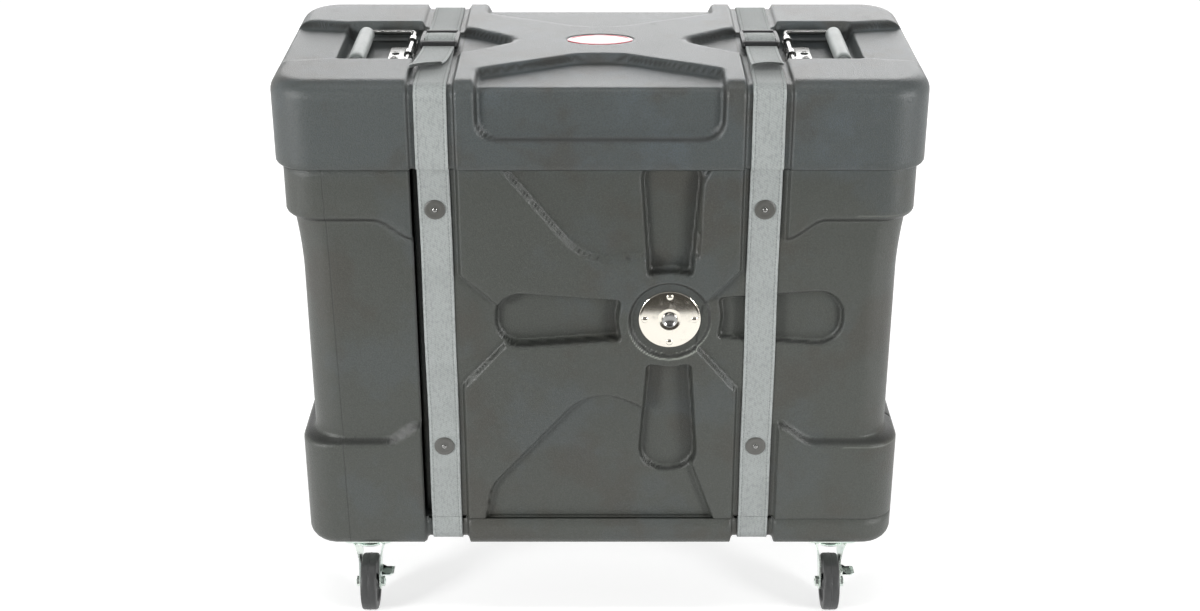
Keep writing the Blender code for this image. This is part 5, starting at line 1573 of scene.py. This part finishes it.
class TRAPCASE_OT_studio(bpy.types.Operator):
    """Adds the camera, the pale floor, the sky and the lamps"""

    bl_idname = "trapcase.studio"
    bl_label = "Studio"

    def execute(self, context):
        scene = context.scene
        studio = scene.trapcase_studio
        scene.view_settings.view_transform = "Standard"
        camera = bpy.data.cameras.new("photo_camera")
        camera.lens = studio.lens
        camera.sensor_width = 36.0
        eye = bpy.data.objects.new("photo_camera", camera)
        eye.location = (0.0, -studio.camera_back, studio.camera_height)
        eye.rotation_euler = (math.pi / 2 - studio.camera_pitch, 0.0, 0.0)
        scene.collection.objects.link(eye)
        scene.camera = eye
        self.floor(scene, studio.paper)
        self.sky(scene, studio)
        self.flag(scene)
        lamps = [("overhead", (0.0, -0.55, 2.6), (1.8, 0.14), studio.overhead),
                 ("key", (-2.5, -2.1, 1.15), (0.8, 0.9), studio.key),
                 ("fill", (2.6, -2.1, 1.05), (0.8, 0.9), studio.key * 0.9),
                 ("back", (0.3, 2.7, 1.7), (3.6, 1.5), studio.back)]
        target = np.array((0.0, 0.0, 0.45))
        for name, place, size, power in lamps:
            lamp = bpy.data.lights.new(name, "AREA")
            lamp.shape = "RECTANGLE"
            lamp.size, lamp.size_y = size
            lamp.energy = power
            holder = bpy.data.objects.new(name, lamp)
            holder.location = place
            aim = target - np.array(place)
            holder.rotation_euler = (math.atan2(math.hypot(aim[0], aim[1]), -aim[2]), 0,
                                     math.atan2(-aim[0], aim[1]))
            scene.collection.objects.link(holder)
        return {"FINISHED"}

    def sheet(self, scene, xs, ys, height, material):
        """A level rectangle of the studio, named like its material."""
        mesh = bpy.data.meshes.new(material.name)
        corners = [(xs[0], ys[0]), (xs[1], ys[0]), (xs[1], ys[1]), (xs[0], ys[1])]
        mesh.from_pydata([(x, y, height) for x, y in corners], [], [(0, 1, 2, 3)])
        mesh.materials.append(material)
        sheet = bpy.data.objects.new(material.name, mesh)
        scene.collection.objects.link(sheet)
        return sheet

    def floor(self, scene, paper):
        """A pale floor that looks white where no shadow lies on it, to the camera and in reflections."""
        g = Graph("studio_floor")
        speck = g.noise(g.place(), 300.0, 2.0)
        rays = g.outputs("ShaderNodeLightPath")
        seen = rays["Is Camera Ray"].most(rays["Is Glossy Ray"]).most(rays["Is Transmission Ray"])
        material = g.surface(Base_Color=g.blend(speck * 0.2, (paper,) * 3, (paper * 0.97,) * 3),
                             Roughness=0.9, Emission_Strength=1.0,
                             Emission_Color=g.blend(seen, (0.0, 0.0, 0.0), (0.62, 0.62, 0.62)))
        self.sheet(scene, (-8.0, 8.0), (-8.0, 8.0), -0.0005, material)

    def flag(self, scene):
        """A dark cloth before the case that only reflections and the light see."""
        g = Graph("flag_front")
        weave = g.noise(g.place(), 200.0, 2.0)
        tone = g.blend(weave * 0.5, (0.030, 0.026, 0.020), (0.020, 0.017, 0.014))
        flag = self.sheet(scene, (-1.6, 1.6), (-4.6, -1.12), 0.02, g.surface(Base_Color=tone, Roughness=0.9))
        flag.visible_camera = False
        flag.visible_shadow = False

    def sky(self, scene, studio):
        """White to the camera, and for the light and reflections pale at the horizon, dark overhead."""
        scene.world = bpy.data.worlds.new("studio_sky")
        g = Graph("studio_sky", scene.world)
        back = g.tree.nodes["Background"]
        back.inputs["Color"].default_value = (1.0, 1.0, 1.0, 1.0)
        rays = g.outputs("ShaderNodeLightPath")
        camera, glossy, through = (rays[f"Is {kind} Ray"] for kind in ("Camera", "Glossy", "Transmission"))
        _, behind, up = g.axes(g.place("Generated"))
        falling = 1.0 - up.between(0.30, 0.85) * (1.0 - studio.zenith)
        falling = falling * (0.22 + behind.between(-0.75, 0.10) * 0.78)
        lit = falling * (studio.sky + glossy * (1.0 - studio.sky))
        level = lit + camera.most(through) * (1.0 - lit)
        g.feed(back.inputs["Strength"], level)


GROUPS = {
    "trapcase_sizes": CaseSizes,
    "trapcase_straps": StrapSizes,
    "trapcase_finishes": Finishes,
    "trapcase_studio": StudioSettings,
}
OPERATORS = (
    TRAPCASE_OT_finish_nodes,
    TRAPCASE_OT_lid,
    TRAPCASE_OT_body,
    TRAPCASE_OT_door,
    TRAPCASE_OT_straps,
    TRAPCASE_OT_buckles,
    TRAPCASE_OT_plate,
    TRAPCASE_OT_washers,
    TRAPCASE_OT_badge,
    TRAPCASE_OT_handles,
    TRAPCASE_OT_casters,
    TRAPCASE_OT_studio,
)


class TRAPCASE_PT_panel(bpy.types.Panel):
    """Lists the pieces and the sizes they are made from"""

    bl_idname = "TRAPCASE_PT_panel"
    bl_label = "Trap Case"
    bl_space_type = "VIEW_3D"
    bl_region_type = "UI"
    bl_category = "Trap Case"

    def draw(self, context):
        for operator in OPERATORS:
            self.layout.operator(operator.bl_idname)
        for name, group in GROUPS.items():
            box = self.layout.box()
            for prop in group.__annotations__:
                box.prop(getattr(context.scene, name), prop)


def register():
    """Adds the settings, the operators and the panel to Blender."""
    for group in GROUPS.values():
        bpy.utils.register_class(group)
    for operator in OPERATORS:
        bpy.utils.register_class(operator)
    bpy.utils.register_class(TRAPCASE_PT_panel)
    for name, group in GROUPS.items():
        setattr(bpy.types.Scene, name, bpy.props.PointerProperty(type=group))


def unregister():
    """Takes them away again."""
    for name in GROUPS:
        delattr(bpy.types.Scene, name)
    bpy.utils.unregister_class(TRAPCASE_PT_panel)
    for made in (*OPERATORS, *GROUPS.values()):
        bpy.utils.unregister_class(made)


def main():
    """Makes every piece and the studio in order."""
    register()
    for operator in OPERATORS:
        category, name = operator.bl_idname.split(".")
        getattr(getattr(bpy.ops, category), name)()


if __name__ == "__main__":
    main()
